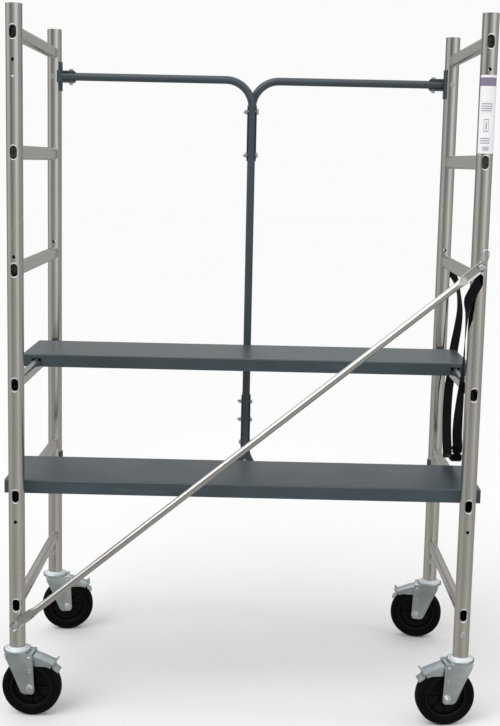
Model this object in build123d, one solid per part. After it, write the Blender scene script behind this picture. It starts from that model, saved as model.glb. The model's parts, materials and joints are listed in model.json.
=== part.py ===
from build123d import *
import math
import os

# Narrow rolling scaffold section: two ladder frames on four braked casters, two steel
# planks, a bent guard rail with its post, one diagonal brace and a lashing strap.
# X runs along the planks, Y from the front to the back, Z up. The origin is on the
# floor, midway between the four stiles. Millimetres.

# ---- ladder frames -------------------------------------------------------------
FRAME_SPACING = 1120.0      # left frame to right frame, stile axes
FRAME_DEPTH = 612.0         # front stile to back stile, axes
STILE_OD = 40.0
STILE_WALL = 2.0
SPIGOT_BORE_D = 37          # the open top is bored out for the next section's spigot
SPIGOT_DEPTH = 45
STILE_LENGTH = 1576.0
RUNG_COUNT = 6
RUNG_PITCH = 280.0
FIRST_RUNG_UP = 110.0       # first rung's axis above the stiles' lower ends
RUNG_WIDTH = 22.0           # along X
RUNG_HEIGHT = 35.0          # along Z
RUNG_WALL = 2.0
RUNG_LIP = 1.6              # flared rim outside the stile, all round
RUNG_LIP_THICK = 1.2
SEAT_GAP = 0.1              # between pieces of one body that are pushed together
PIN_HOLE_D = 8.5

# ---- where the holes through the stiles are -------------------------------------
GUARD_RAIL_UP = 1446.0      # above the stiles' lower ends
LOWER_RAIL_UP = 325.0
CASTER_BOLT_UP = 60.0
BRACE_TOP_ABOVE_RUNG = 32.0     # above the fourth rung from the floor

# ---- planks ----------------------------------------------------------------------
PLANK_OVERHANG = 37.0       # past the rungs' axes at each end
PLANK_PLAY = 16.0           # planks side by side are this much narrower, each, than the frame
PLANK_SHEET = 2.0
PLANK_SKIRT = 34.0          # depth of the folded sides
PLANK_RETURN = 14.0         # lip folded inwards under the sides
PLANK_RISE = 30.0           # top of the deck above the rung's axis
PLANK_BEND_R = 4.0
UPPER_PLANK_BACK = 26.5     # from its edge to the back stiles
LOWER_PLANK_FRONT = 13.5    # from its edge to the front stiles
UPPER_PLANK_RUNG = 3        # rung that carries it, counted from the floor, first is 1
LOWER_PLANK_RUNG = 2
SADDLE_GAP = 0.5            # beside the rung
REST_GAP = 0.2              # above the rung
SADDLE_WALL = 2.0
RIB_WIDTH = 40.0
RIB_HEIGHT = 18.0
RIB_SHEET = 1.5

# ---- guard rail ------------------------------------------------------------------
RAIL_OD = 22.0
RAIL_WALL = 1.8
RAIL_BEND_R = 75.0
RAIL_APART = 3.0            # between the two rails where they cross
SPLICE_LENGTH = 155.0
SPLICE_WALL = 2.3
UPPER_SPLICE_DOWN = 69.0    # its upper end, below the guard rail's axis
LOWER_SPLICE_UP = 67.0      # its lower end, above the lower rail's axis
SPLICE_BOLT_INSET = 17.0
POST_JOINT_UP = 143.0       # where the post ends on the foot's stub, above the lower rail
FOOT_BOLT_ABOVE_RAIL = 28.0
FOOT_HALF_LENGTH = 40.0
FIT_GAP = 0.25

# ---- brackets on the stiles --------------------------------------------------------
BRACKET_HEIGHT = 80.0
BRACKET_SHELL = 2.6
BRACKET_FRONT_DEG = 45.0    # how far the shell wraps towards the front
BRACKET_BACK_DEG = 112.0    # and towards the back, past the bolt
SOCKET_LENGTH = 37.4        # beyond the shell
SOCKET_WALL = 5.2
SOCKET_BOLT_INSET = 11.0    # from the socket's mouth

# ---- fasteners -------------------------------------------------------------------
M8_R = 4.0
M8_FLATS = 13.0
M8_HEAD = 5.3
M8_NUT = 6.5
M6_R = 3.0
M6_FLATS = 10.0
M6_HEAD = 4.0
M6_NUT = 5.0
THREAD_OUT = 4.0

# ---- diagonal brace -----------------------------------------------------------------
BRACE_OD = 18.0
BRACE_WALL = 1.5
BRACE_WEB = 3.0             # the two walls pressed flat
BRACE_RIM = 8.0             # height of the trough's rims from its back
BRACE_RIM_WIDTH = 3.2
BRACE_FLAT_HALF = 12.0      # half the pressed ends' width
BRACE_NECK = 24.0           # where the trough runs out into the round tube
BRACE_FLAT_LENGTH = 72.0
BRACE_END = 13.0            # beyond the hole
BRACE_STANDOFF = 2.0        # back of the pressed end from the stile

# ---- clip pin ----------------------------------------------------------------------
CLIP_PIN_R = 4.0
CLIP_HEAD_R = 7.0
CLIP_HEAD = 13.0
CLIP_WIRE_R = 1.4
CLIP_BOW_FROM_BRACE = 9.0
CLIP_BOW_LENGTH = 45.0
CLIP_BOW_WIDTH = 18.0
CLIP_LEAN_DEG = 15.0

# ---- casters ------------------------------------------------------------------------
WHEEL_R = 75.0
TYRE_WIDTH = 36.0
TYRE_BORE_R = 54.0
HUB_BOSS_R = 15.0
HUB_BOSS_WIDTH = 48.0
HUB_WEB = 8.0
CASTER_TRAIL = 37.0
AXLE_R = 5.0
RUNNING_GAP = 0.05
FORK_SHEET = 3.0
FORK_INSIDE = 49.0          # between the cheeks
FORK_OVER_TYRE = 16.0       # top of the fork above the tyre
STEM_HEIGHT = 14.0          # from the fork's top to the stile's lower end
FORK_FRONT_X = -28.0
FORK_BACK_X = 44.0
RACE_R = 35.0
RACE_RIM = 2.2
KING_PIN_R = 6.0
STEM_FLANGE_R = 27.0
STEM_PLUG = 82.0
SWIVEL_GAP = 5.3            # from the fork's top to the stem's flange, round the race
PEDAL_PIVOT_X = 35.0
PEDAL_OVER_TYRE = 5.0
SHOE_GAP = 0.4
PEDAL_PIN_R = 3.0
PEDAL_HALF_WIDTH = 22.5
PEDAL_SHEET = 2.0
# Where each caster points, as the angle of its trail from +X.
CASTER_TURN = {
    "front_left": -4.0, "back_left": 9.0, "front_right": 187.0, "back_right": 171.0,
}

# ---- strap, buckle and label ------------------------------------------------------------
STRAP_WIDTH = 25.0
STRAP_THICK = 1.6
BUCKLE_WIDTH = 34.0
BUCKLE_LENGTH = 44.0
BUCKLE_THICK = 7.0
BUCKLE_GAP = 1.3            # from its ends to the webbing
LABEL_TOP_DOWN = 143.0      # below the stile's upper end
LABEL_LENGTH = 182.0
LABEL_THICK = 0.25
LABEL_HALF_DEG = 66.0

# ---- worked out from the sizes above ------------------------------------------------------
STILE_R = STILE_OD / 2
FORK_TOP = 2 * WHEEL_R + FORK_OVER_TYRE
PEDAL_PIVOT_Z = 2 * WHEEL_R + PEDAL_OVER_TYRE
STILE_BOTTOM = FORK_TOP + STEM_HEIGHT
STILE_TOP = STILE_BOTTOM + STILE_LENGTH
HALF_X = FRAME_SPACING / 2
HALF_Y = FRAME_DEPTH / 2
RUNG_Z = [STILE_BOTTOM + FIRST_RUNG_UP + i * RUNG_PITCH for i in range(RUNG_COUNT)]
GUARD_RAIL_Z = STILE_BOTTOM + GUARD_RAIL_UP
LOWER_RAIL_Z = STILE_BOTTOM + LOWER_RAIL_UP
BRACE_TOP_Z = RUNG_Z[3] + BRACE_TOP_ABOVE_RUNG
CASTER_BOLT_Z = STILE_BOTTOM + CASTER_BOLT_UP
PLANK_LENGTH = FRAME_SPACING + 2 * PLANK_OVERHANG
CLEAR_HALF_Y = HALF_Y - STILE_R
PLANK_WIDTH = CLEAR_HALF_Y - PLANK_PLAY
UPPER_PLANK_Y = CLEAR_HALF_Y - UPPER_PLANK_BACK - PLANK_WIDTH / 2
LOWER_PLANK_Y = LOWER_PLANK_FRONT + PLANK_WIDTH / 2 - CLEAR_HALF_Y
SOCKET_REACH = STILE_R + BRACKET_SHELL + SOCKET_LENGTH
SOCKET_BOLT_X = SOCKET_REACH - SOCKET_BOLT_INSET
UPPER_SPLICE_Z = GUARD_RAIL_Z - UPPER_SPLICE_DOWN - SPLICE_LENGTH
LOWER_SPLICE_Z = LOWER_RAIL_Z + LOWER_SPLICE_UP
POST_JOINT_Z = LOWER_RAIL_Z + POST_JOINT_UP
RAIL_R = RAIL_OD / 2
RAIL_STACK = (RAIL_OD + RAIL_APART) / 2    # rails lie this far before and behind the stiles' plane
FRONT_RAIL_Y = HALF_Y - RAIL_STACK
BACK_RAIL_Y = HALF_Y + RAIL_STACK
SPLICE_HALF = RAIL_R + FIT_GAP + SPLICE_WALL
STILES = {
    "left_front": (-HALF_X, -HALF_Y), "left_back": (-HALF_X, HALF_Y),
    "right_front": (HALF_X, -HALF_Y), "right_back": (HALF_X, HALF_Y),
}


def rod(radius, length, start, axis):
    """A cylinder from a start point along X, Y or Z; a negative length runs the other way."""
    turns = {"X": Rot(0, 90, 0), "Y": Rot(-90, 0, 0), "Z": Rot(0, 0, 0)}
    low = 0 if length > 0 else length
    piece = Pos(0, 0, low) * Cylinder(radius, abs(length), align=(Align.CENTER, Align.CENTER, Align.MIN))
    return Pos(*start) * turns[axis] * piece


def block(x0, x1, y0, y1, z0, z1):
    return Pos((x0 + x1) / 2, (y0 + y1) / 2, (z0 + z1) / 2) * Box(x1 - x0, y1 - y0, z1 - z0)


def hex_prism(flats, length, start, axis):
    turns = {"X": Rot(0, 90, 0), "Y": Rot(-90, 0, 0), "Z": Rot(0, 0, 0)}
    low = 0 if length > 0 else length
    face = RegularPolygon(flats / 2, 6, major_radius=False)
    return Pos(*start) * turns[axis] * Pos(0, 0, low) * extrude(face, abs(length))


def plate_xz(points, y0, y1, corner=0.0, rounded=()):
    """A plate with its outline in X and Z, between two values of Y."""
    outline = make_face(Polyline(*[(x, z) for x, z in points], close=True))
    if corner:
        spots = [v for v in outline.vertices() if any(
            abs(v.X - x) < 0.01 and abs(v.Y - z) < 0.01 for x, z in rounded)]
        outline = fillet(spots, corner)
    solid = extrude(outline, y1 - y0)
    return Pos(0, y1, 0) * Rot(90, 0, 0) * solid


def save(name, shape):
    if isinstance(shape, (list, tuple)):
        shape = Compound(children=list(shape))
    shape.label = name
    export_step(shape, f"parts/{name}.step")


# ---- ladder frames ---------------------------------------------------------------------
def stadium(width, height, y0, y1):
    """An upright oblong bar along Y."""
    face = Rot(0, 0, 90) * SlotOverall(height, width)
    return Pos(0, y1, 0) * Rot(90, 0, 0) * extrude(face, y1 - y0)


def make_stile():
    tube = rod(STILE_R, STILE_LENGTH, (0, 0, STILE_BOTTOM), "Z")
    tube = chamfer(tube.edges().filter_by(GeomType.CIRCLE), 0.6)
    tube -= rod(STILE_R - STILE_WALL, STILE_LENGTH + 2, (0, 0, STILE_BOTTOM - 1), "Z")
    top = STILE_BOTTOM + STILE_LENGTH
    tube -= rod(SPIGOT_BORE_D / 2, SPIGOT_DEPTH + 1, (0, 0, top - SPIGOT_DEPTH), "Z")
    slot = stadium(RUNG_WIDTH + 2 * SEAT_GAP, RUNG_HEIGHT + 2 * SEAT_GAP, -STILE_OD, STILE_OD)
    for z in RUNG_Z:
        tube -= Pos(0, 0, z) * slot
    for z in (GUARD_RAIL_Z, BRACE_TOP_Z, LOWER_RAIL_Z, CASTER_BOLT_Z):
        tube -= rod(PIN_HOLE_D / 2, 2 * STILE_OD, (0, -STILE_OD, z), "Y")
    return tube


def make_rung():
    """Oblong tube through both stiles, its ends trimmed to their curve and flared over it."""
    reach = HALF_Y + STILE_R + 5
    lip_r = STILE_R + RUNG_LIP_THICK
    bar = stadium(RUNG_WIDTH, RUNG_HEIGHT, -reach, reach)
    lip = stadium(RUNG_WIDTH + 2 * RUNG_LIP, RUNG_HEIGHT + 2 * RUNG_LIP, -reach, reach)
    for side in (-1, 1):
        near, far = sorted((side * HALF_Y, side * (reach + 1)))
        end_zone = block(-RUNG_HEIGHT, RUNG_HEIGHT, near, far, -RUNG_HEIGHT, RUNG_HEIGHT)
        inside = rod(lip_r, 2 * RUNG_HEIGHT, (0, side * HALF_Y, -RUNG_HEIGHT), "Z")
        stile = rod(STILE_R + SEAT_GAP / 2, 2 * RUNG_HEIGHT, (0, side * HALF_Y, -RUNG_HEIGHT), "Z")
        bar -= end_zone - inside
        bar += (lip & end_zone & inside) - stile
    return bar - stadium(RUNG_WIDTH - 2 * RUNG_WALL, RUNG_HEIGHT - 2 * RUNG_WALL, -reach, reach)


# ---- planks ---------------------------------------------------------------------------
def make_deck():
    """Folded steel pan, open below, with both sides notched over the rungs.
    Its own Z is zero at the rung's axis."""
    top, low = PLANK_RISE, PLANK_RISE - PLANK_SKIRT
    half_l, half_w = PLANK_LENGTH / 2, PLANK_WIDTH / 2
    pan = block(-half_l, half_l, -half_w, half_w, low, top)
    pan = fillet(pan.edges().filter_by(Axis.X).group_by(Axis.Z)[-1], PLANK_BEND_R)
    pan -= block(-half_l + PLANK_SHEET, half_l - PLANK_SHEET, -half_w + PLANK_SHEET,
                 half_w - PLANK_SHEET, low + PLANK_SHEET, top - PLANK_SHEET)
    pan -= block(-half_l + PLANK_RETURN, half_l - PLANK_RETURN, -half_w + PLANK_RETURN,
                 half_w - PLANK_RETURN, low - 1, low + PLANK_SHEET + 1)
    notch_half = RUNG_WIDTH / 2 + SADDLE_GAP + SADDLE_WALL + FIT_GAP
    notch_top = RUNG_HEIGHT / 2 + REST_GAP + SADDLE_WALL
    for x in (-HALF_X, HALF_X):
        pan -= block(x - notch_half, x + notch_half, -half_w - 1, half_w + 1, low - 1, notch_top)
    return pan


def make_saddle():
    """Channel under the deck that hooks over a rung, open below."""
    half_in = RUNG_WIDTH / 2 + SADDLE_GAP
    half_out = half_in + SADDLE_WALL
    web = RUNG_HEIGHT / 2 + REST_GAP
    low, top = PLANK_RISE - PLANK_SKIRT, PLANK_RISE - PLANK_SHEET
    half_w = PLANK_WIDTH / 2 - PLANK_SHEET - FIT_GAP
    walls = block(-half_out, half_out, -half_w, half_w, low, top)
    walls -= block(-half_in, half_in, -half_w - 1, half_w + 1, low - 1, web)
    walls -= block(-half_in, half_in, -half_w - 1, half_w + 1, web + SADDLE_WALL, top + 1)
    # The ends are cut back where the pan's folded lips pass below.
    for side in (-1, 1):
        inner, outer = sorted((side * (PLANK_WIDTH / 2 - PLANK_RETURN - FIT_GAP), side * PLANK_WIDTH))
        for x in (-1, 1):
            near, far = sorted((x * half_in, x * (half_out + 1)))
            walls -= block(near, far, inner, outer, low - 1, low + PLANK_SHEET + FIT_GAP)
    return walls


def make_rib():
    """Hat rib along the plank between its two saddles."""
    half_l = HALF_X - RUNG_WIDTH / 2 - SADDLE_GAP - SADDLE_WALL - FIT_GAP
    top = PLANK_RISE - PLANK_SHEET
    rib = block(-half_l, half_l, -RIB_WIDTH / 2, RIB_WIDTH / 2, top - RIB_HEIGHT, top)
    inner = RIB_WIDTH / 2 - RIB_SHEET
    rib -= block(-half_l - 1, half_l + 1, -inner, inner, top - RIB_HEIGHT + RIB_SHEET, top + 1)
    return rib


def make_plank(prefix, centre_y, rung_z):
    place = Pos(0, centre_y, rung_z)
    save(f"{prefix}_plank_deck", place * make_deck())
    saddle = make_saddle()
    save(f"{prefix}_plank_saddles", [place * Pos(x, 0, 0) * saddle for x in (-HALF_X, HALF_X)])
    rib = make_rib()
    save(f"{prefix}_plank_ribs", [place * Pos(0, y, 0) * rib for y in (-PLANK_WIDTH / 5, PLANK_WIDTH / 5)])


# ---- guard rail ---------------------------------------------------------------------------
def make_bent_rail(side, y, leg_end_z):
    """Rail from one stile to the middle, then bent down to leg_end_z."""
    start_x = side * (HALF_X - STILE_R - BRACKET_SHELL - 1)
    corner = side * RAIL_BEND_R
    path = Line((start_x, y, GUARD_RAIL_Z), (corner, y, GUARD_RAIL_Z))
    mid = RAIL_BEND_R * (1 - math.sqrt(0.5))
    path += ThreePointArc((corner, y, GUARD_RAIL_Z), (side * mid, y, GUARD_RAIL_Z - mid),
                          (0, y, GUARD_RAIL_Z - RAIL_BEND_R))
    path += Line((0, y, GUARD_RAIL_Z - RAIL_BEND_R), (0, y, leg_end_z))
    section = Plane(origin=(start_x, y, GUARD_RAIL_Z), z_dir=(-side, 0, 0))
    ring = Circle(RAIL_R) - Circle(RAIL_R - RAIL_WALL)
    tube = sweep(section * ring, path=path)
    return tube


def drill(shape, points, radius, axis, reach=60.0):
    for x, y, z in points:
        start = {"X": (x - reach, y, z), "Y": (x, y - reach, z), "Z": (x, y, z - reach)}[axis]
        shape -= rod(radius, 2 * reach, start, axis)
    return shape


def make_splice(front_y, back_y, low_z):
    """Upright channel, open to the front, round the tubes from front_y to back_y."""
    inner = RAIL_R + FIT_GAP
    y0, y1 = front_y - 0.55 * RAIL_R, back_y + RAIL_R + FIT_GAP + SPLICE_WALL
    high_z = low_z + SPLICE_LENGTH
    slope = 9.0
    side_wall = [(y0, low_z + slope), (y0 + slope, low_z), (y1, low_z),
                 (y1, high_z), (y0 + slope, high_z), (y0, high_z - slope)]
    face = make_face(Polyline(*[(y, z) for y, z in side_wall], close=True))
    # The outline lies in Y and Z and is extruded along X.
    outline = Plane(origin=(-SPLICE_HALF, 0, 0), x_dir=(0, 1, 0), z_dir=(1, 0, 0))
    channel = extrude(outline * face, 2 * SPLICE_HALF)
    return channel - block(-inner, inner, y0 - 1, y1 - SPLICE_WALL, low_z - 1, high_z + 1)


def make_bracket(side, rail_y, rail_z):
    """Shell round a back stile's inner side with a socket, open to the front, for the rail.
    side is the stile's side of the scaffold: -1 left, 1 right."""
    x, y = side * HALF_X, HALF_Y
    r_in, r_out = STILE_R + SEAT_GAP, STILE_R + SEAT_GAP + BRACKET_SHELL
    z0 = rail_z - BRACKET_HEIGHT / 2
    sweep_deg = BRACKET_FRONT_DEG + BRACKET_BACK_DEG
    shell = Cylinder(r_out, BRACKET_HEIGHT, arc_size=sweep_deg,
                     align=(Align.NONE, Align.NONE, Align.MIN))
    shell = Rot(0, 0, -BRACKET_FRONT_DEG) * shell
    socket_half = RAIL_R + FIT_GAP + SOCKET_WALL
    offset = rail_y - y
    back = offset + RAIL_R + FIT_GAP + SOCKET_WALL
    front = offset - 0.6 * RAIL_R
    body = block(STILE_R / 2, SOCKET_REACH, front, back, BRACKET_HEIGHT / 2 - socket_half,
                 BRACKET_HEIGHT / 2 + socket_half)
    nose = body.edges().filter_by(Axis.Y).group_by(Axis.X)[-1]
    body = chamfer(nose, 3.5)
    shell = shell + body
    shell -= rod(r_in, BRACKET_HEIGHT + 2, (0, 0, -1), "Z")
    shell -= rod(RAIL_R + FIT_GAP, SOCKET_REACH + 5, (STILE_R + BRACKET_SHELL + 0.5, offset, BRACKET_HEIGHT / 2), "X")
    shell -= block(STILE_R + BRACKET_SHELL + 0.5, SOCKET_REACH + 5, front - 5, offset,
                   BRACKET_HEIGHT / 2 - RAIL_R - FIT_GAP, BRACKET_HEIGHT / 2 + RAIL_R + FIT_GAP)
    shell -= rod(PIN_HOLE_D / 2, 2 * STILE_OD, (0, -STILE_OD, BRACKET_HEIGHT / 2), "Y")
    shell -= rod(M6_R + FIT_GAP, BRACKET_HEIGHT, (SOCKET_BOLT_X, offset, 0), "Z")
    if side > 0:
        shell = mirror(shell, about=Plane.YZ)
    return Pos(x, y, z0) * shell


def make_foot():
    """Stub tube on a spreading foot that sits over the lower rail."""
    y, z = FRONT_RAIL_Y, LOWER_RAIL_Z
    stub = rod(RAIL_R, POST_JOINT_Z - z - 40, (0, y, z + 40), "Z")
    stub -= rod(RAIL_R - RAIL_WALL, POST_JOINT_Z - z - 35, (0, y, z + 45), "Z")
    flare = plate_xz([(-12, z + 66), (12, z + 66), (17, z + 45), (34, z + 8), (-34, z + 8), (-17, z + 45)],
                     y - 9, y + 9)
    shell_r = RAIL_R + FIT_GAP + BRACKET_SHELL
    shell = rod(shell_r, 2 * FOOT_HALF_LENGTH, (-FOOT_HALF_LENGTH, y, z), "X")
    shell &= block(-FOOT_HALF_LENGTH, FOOT_HALF_LENGTH, y - shell_r, y + shell_r, z - 2, z + shell_r)
    foot = stub + flare + shell
    foot -= rod(RAIL_R + FIT_GAP, 2 * FOOT_HALF_LENGTH + 4, (-FOOT_HALF_LENGTH - 2, y, z), "X")
    return drill(foot, [(0, y, z + FOOT_BOLT_ABOVE_RAIL)], M6_R + FIT_GAP, "Y")


def make_guard_rail():
    inset = SPLICE_BOLT_INSET
    upper_bolts = [UPPER_SPLICE_Z + inset, UPPER_SPLICE_Z + SPLICE_LENGTH - inset]
    lower_bolts = [LOWER_SPLICE_Z + inset, POST_JOINT_Z + 8, LOWER_SPLICE_Z + SPLICE_LENGTH - inset]
    socket_x = HALF_X - SOCKET_BOLT_X
    m8 = M8_R + FIT_GAP
    left = make_bent_rail(-1, FRONT_RAIL_Y, POST_JOINT_Z + 0.3)
    left = drill(left, [(0, FRONT_RAIL_Y, z) for z in upper_bolts + lower_bolts[1:]], m8, "X")
    left = drill(left, [(-socket_x, FRONT_RAIL_Y, GUARD_RAIL_Z)], M6_R + FIT_GAP, "Z", 30)
    save("left_guard_rail", left)
    right = make_bent_rail(1, BACK_RAIL_Y, UPPER_SPLICE_Z + 3)
    right = drill(right, [(0, BACK_RAIL_Y, z) for z in upper_bolts], m8, "X")
    right = drill(right, [(socket_x, BACK_RAIL_Y, GUARD_RAIL_Z)], M6_R + FIT_GAP, "Z", 30)
    save("right_guard_rail", right)
    rail_half = HALF_X - STILE_R - BRACKET_SHELL - 1
    lower = rod(RAIL_R, 2 * rail_half, (-rail_half, FRONT_RAIL_Y, LOWER_RAIL_Z), "X")
    lower -= rod(RAIL_R - RAIL_WALL, 2 * rail_half + 2, (-rail_half - 1, FRONT_RAIL_Y, LOWER_RAIL_Z), "X")
    lower = drill(lower, [(s * socket_x, FRONT_RAIL_Y, LOWER_RAIL_Z) for s in (-1, 1)], M6_R + FIT_GAP, "Z", 30)
    save("lower_rail", lower)
    splice = make_splice(FRONT_RAIL_Y, BACK_RAIL_Y, UPPER_SPLICE_Z)
    both = [(0, y, z) for y in (FRONT_RAIL_Y, BACK_RAIL_Y) for z in upper_bolts]
    save("upper_splice", drill(splice, both, m8, "X"))
    splice = make_splice(FRONT_RAIL_Y, FRONT_RAIL_Y, LOWER_SPLICE_Z)
    save("lower_splice", drill(splice, [(0, FRONT_RAIL_Y, z) for z in lower_bolts], m8, "X"))
    foot = drill(make_foot(), [(0, FRONT_RAIL_Y, lower_bolts[0])], m8, "X")
    save("post_foot", foot)
    brackets = {
        "upper_left_bracket": (-1, FRONT_RAIL_Y, GUARD_RAIL_Z),
        "upper_right_bracket": (1, BACK_RAIL_Y, GUARD_RAIL_Z),
        "lower_left_bracket": (-1, FRONT_RAIL_Y, LOWER_RAIL_Z),
        "lower_right_bracket": (1, FRONT_RAIL_Y, LOWER_RAIL_Z),
    }
    for name, (side, rail_y, rail_z) in brackets.items():
        save(name, make_bracket(side, rail_y, rail_z))
    make_rail_fasteners(brackets, upper_bolts, lower_bolts)


def m8_bolt(start, axis, grip, way):
    """Hex bolt: start is under the head, the shank runs grip plus nut and thread along way."""
    shank = way * (grip + M8_NUT + THREAD_OUT)
    return hex_prism(M8_FLATS, -way * M8_HEAD, start, axis) + rod(M8_R, shank, start, axis)


def m8_nut(start, axis, way):
    nut = hex_prism(M8_FLATS, way * M8_NUT, start, axis)
    length = 2 * M8_NUT + 2
    centre = list(start)
    centre["XYZ".index(axis)] -= way * (length - M8_NUT) / 2
    return nut - rod(M8_R + SEAT_GAP / 2, way * length, tuple(centre), axis)


def m6_set(x, y, z_top, z_bottom):
    """Upright bolt with its head on top, and its nut below."""
    head = hex_prism(M6_FLATS, M6_HEAD, (x, y, z_top), "Z")
    shank = rod(M6_R, -(z_top - z_bottom + M6_NUT + THREAD_OUT / 2), (x, y, z_top), "Z")
    nut = hex_prism(M6_FLATS, -M6_NUT, (x, y, z_bottom), "Z")
    nut -= rod(M6_R + SEAT_GAP / 2, -M6_NUT - 2, (x, y, z_bottom + 1), "Z")
    return head + shank, nut


def make_rail_fasteners(brackets, upper_bolts, lower_bolts):
    stile_bolts, stile_nuts, socket_bolts, socket_nuts = [], [], [], []
    grip = 2 * STILE_R + SEAT_GAP + BRACKET_SHELL
    half = RAIL_R + FIT_GAP + SOCKET_WALL
    for side, rail_y, rail_z in brackets.values():
        front = HALF_Y - STILE_R
        stile_bolts.append(m8_bolt((side * HALF_X, front, rail_z), "Y", grip, 1))
        stile_nuts.append(m8_nut((side * HALF_X, front + grip, rail_z), "Y", 1))
        bolt, nut = m6_set(side * (HALF_X - SOCKET_BOLT_X), rail_y, rail_z + half, rail_z - half)
        socket_bolts.append(bolt)
        socket_nuts.append(nut)
    save("bracket_bolts", stile_bolts)
    save("bracket_nuts", stile_nuts)
    save("socket_bolts", socket_bolts)
    save("socket_nuts", socket_nuts)
    bolts, nuts = [], []
    # The head is on the right, except on the lowest bolt, which is put in from the left.
    places = [(FRONT_RAIL_Y, z, -1) for z in upper_bolts + lower_bolts[1:]]
    places += [(BACK_RAIL_Y, z, -1) for z in upper_bolts] + [(FRONT_RAIL_Y, lower_bolts[0], 1)]
    for y, z, way in places:
        bolts.append(m8_bolt((-way * SPLICE_HALF, y, z), "X", 2 * SPLICE_HALF, way))
        nuts.append(m8_nut((way * SPLICE_HALF, y, z), "X", way))
    foot_z, face = LOWER_RAIL_Z + FOOT_BOLT_ABOVE_RAIL, 9.0
    bolts.append(hex_prism(M6_FLATS, -M6_HEAD, (0, FRONT_RAIL_Y - face, foot_z), "Y")
                 + rod(M6_R, 2 * face + M6_NUT + 2, (0, FRONT_RAIL_Y - face, foot_z), "Y"))
    nuts.append(hex_prism(M6_FLATS, M6_NUT, (0, FRONT_RAIL_Y + face, foot_z), "Y")
                - rod(M6_R + SEAT_GAP / 2, M6_NUT + 2, (0, FRONT_RAIL_Y + face - 1, foot_z), "Y"))
    save("post_bolts", bolts)
    save("post_nuts", nuts)


# ---- diagonal brace and its pins --------------------------------------------------------------
def brace_frame():
    """Plane of the brace: origin at the lower hole, x along the brace, z to the front."""
    low = Vector(-HALF_X, -HALF_Y - STILE_R - BRACE_STANDOFF, CASTER_BOLT_Z)
    high = Vector(HALF_X, low.Y, BRACE_TOP_Z)
    return Plane(origin=low, x_dir=high - low, z_dir=(0, -1, 0)), (high - low).length


def make_brace():
    plane, length = brace_frame()
    r = BRACE_OD / 2
    tube = rod(r, length - 2 * BRACE_FLAT_LENGTH, (BRACE_FLAT_LENGTH, 0, r), "X")
    tube -= rod(r - BRACE_WALL, length, (0, 0, r), "X")
    solid = tube
    for start, way in ((0.0, 1), (length, -1)):
        # Pressed end: a trough, open to the front, that runs out into the round tube.
        mouth = start + way * (BRACE_FLAT_LENGTH - BRACE_NECK)
        flat_a, flat_b = sorted((start - way * BRACE_END, mouth))
        face = Pos((flat_a + flat_b) / 2, 0) * Rectangle(flat_b - flat_a, 2 * BRACE_FLAT_HALF)
        tip = face.vertices().group_by(Axis.X)[0 if way > 0 else -1]
        trough = extrude(fillet(tip, 7.0), BRACE_RIM)
        floor_a, floor_b = sorted((start - way * (BRACE_END + 1), mouth - way * BRACE_RIM_WIDTH))
        edge = BRACE_FLAT_HALF - BRACE_RIM_WIDTH
        trough -= block(floor_a, floor_b, -edge, edge, BRACE_WEB, BRACE_RIM + 1)
        wide = Plane(origin=(mouth, 0, BRACE_RIM / 2), x_dir=(0, 1, 0), z_dir=(way, 0, 0))
        full = Plane(origin=(start + way * BRACE_FLAT_LENGTH, 0, r), x_dir=(0, 1, 0), z_dir=(way, 0, 0))
        corner = 0.48 * BRACE_RIM
        neck = loft([wide * RectangleRounded(2 * BRACE_FLAT_HALF, BRACE_RIM, corner), full * Circle(r)])
        solid = solid + trough + neck
    for x in (0.0, length):
        solid -= rod(M8_R + FIT_GAP, 60, (x, 0, -20), "Z")
    return plane.location * solid


def make_caster_bolts():
    bolts, nuts = [], []
    for name, (x, y) in STILES.items():
        front = y - STILE_R
        grip = 2 * STILE_R
        if name == "left_front":
            front -= BRACE_STANDOFF + BRACE_WEB
            grip += BRACE_STANDOFF + BRACE_WEB
        bolts.append(m8_bolt((x, front, CASTER_BOLT_Z), "Y", grip, 1))
        nuts.append(m8_nut((x, y + STILE_R, CASTER_BOLT_Z), "Y", 1))
    save("caster_bolts", bolts)
    save("caster_nuts", nuts)
    washer_r = 8.0
    spacers = []
    for x, z in ((-HALF_X, CASTER_BOLT_Z), (HALF_X, BRACE_TOP_Z)):
        y0 = -HALF_Y - STILE_R - BRACE_STANDOFF
        spacer = rod(washer_r, STILE_R, (x, y0, z), "Y")
        spacer -= rod(STILE_R, 4 * washer_r, (x, -HALF_Y, z - 2 * washer_r), "Z")
        spacers.append(spacer - rod(M8_R + FIT_GAP, STILE_OD, (x, y0 - 5, z), "Y"))
    save("brace_spacers", spacers)


def clip_place():
    """Back of the clip pin's head, against the brace, and where the bow turns in it."""
    face = -HALF_Y - STILE_R - BRACE_STANDOFF - BRACE_WEB - FIT_GAP
    return face, face - CLIP_BOW_FROM_BRACE


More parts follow.
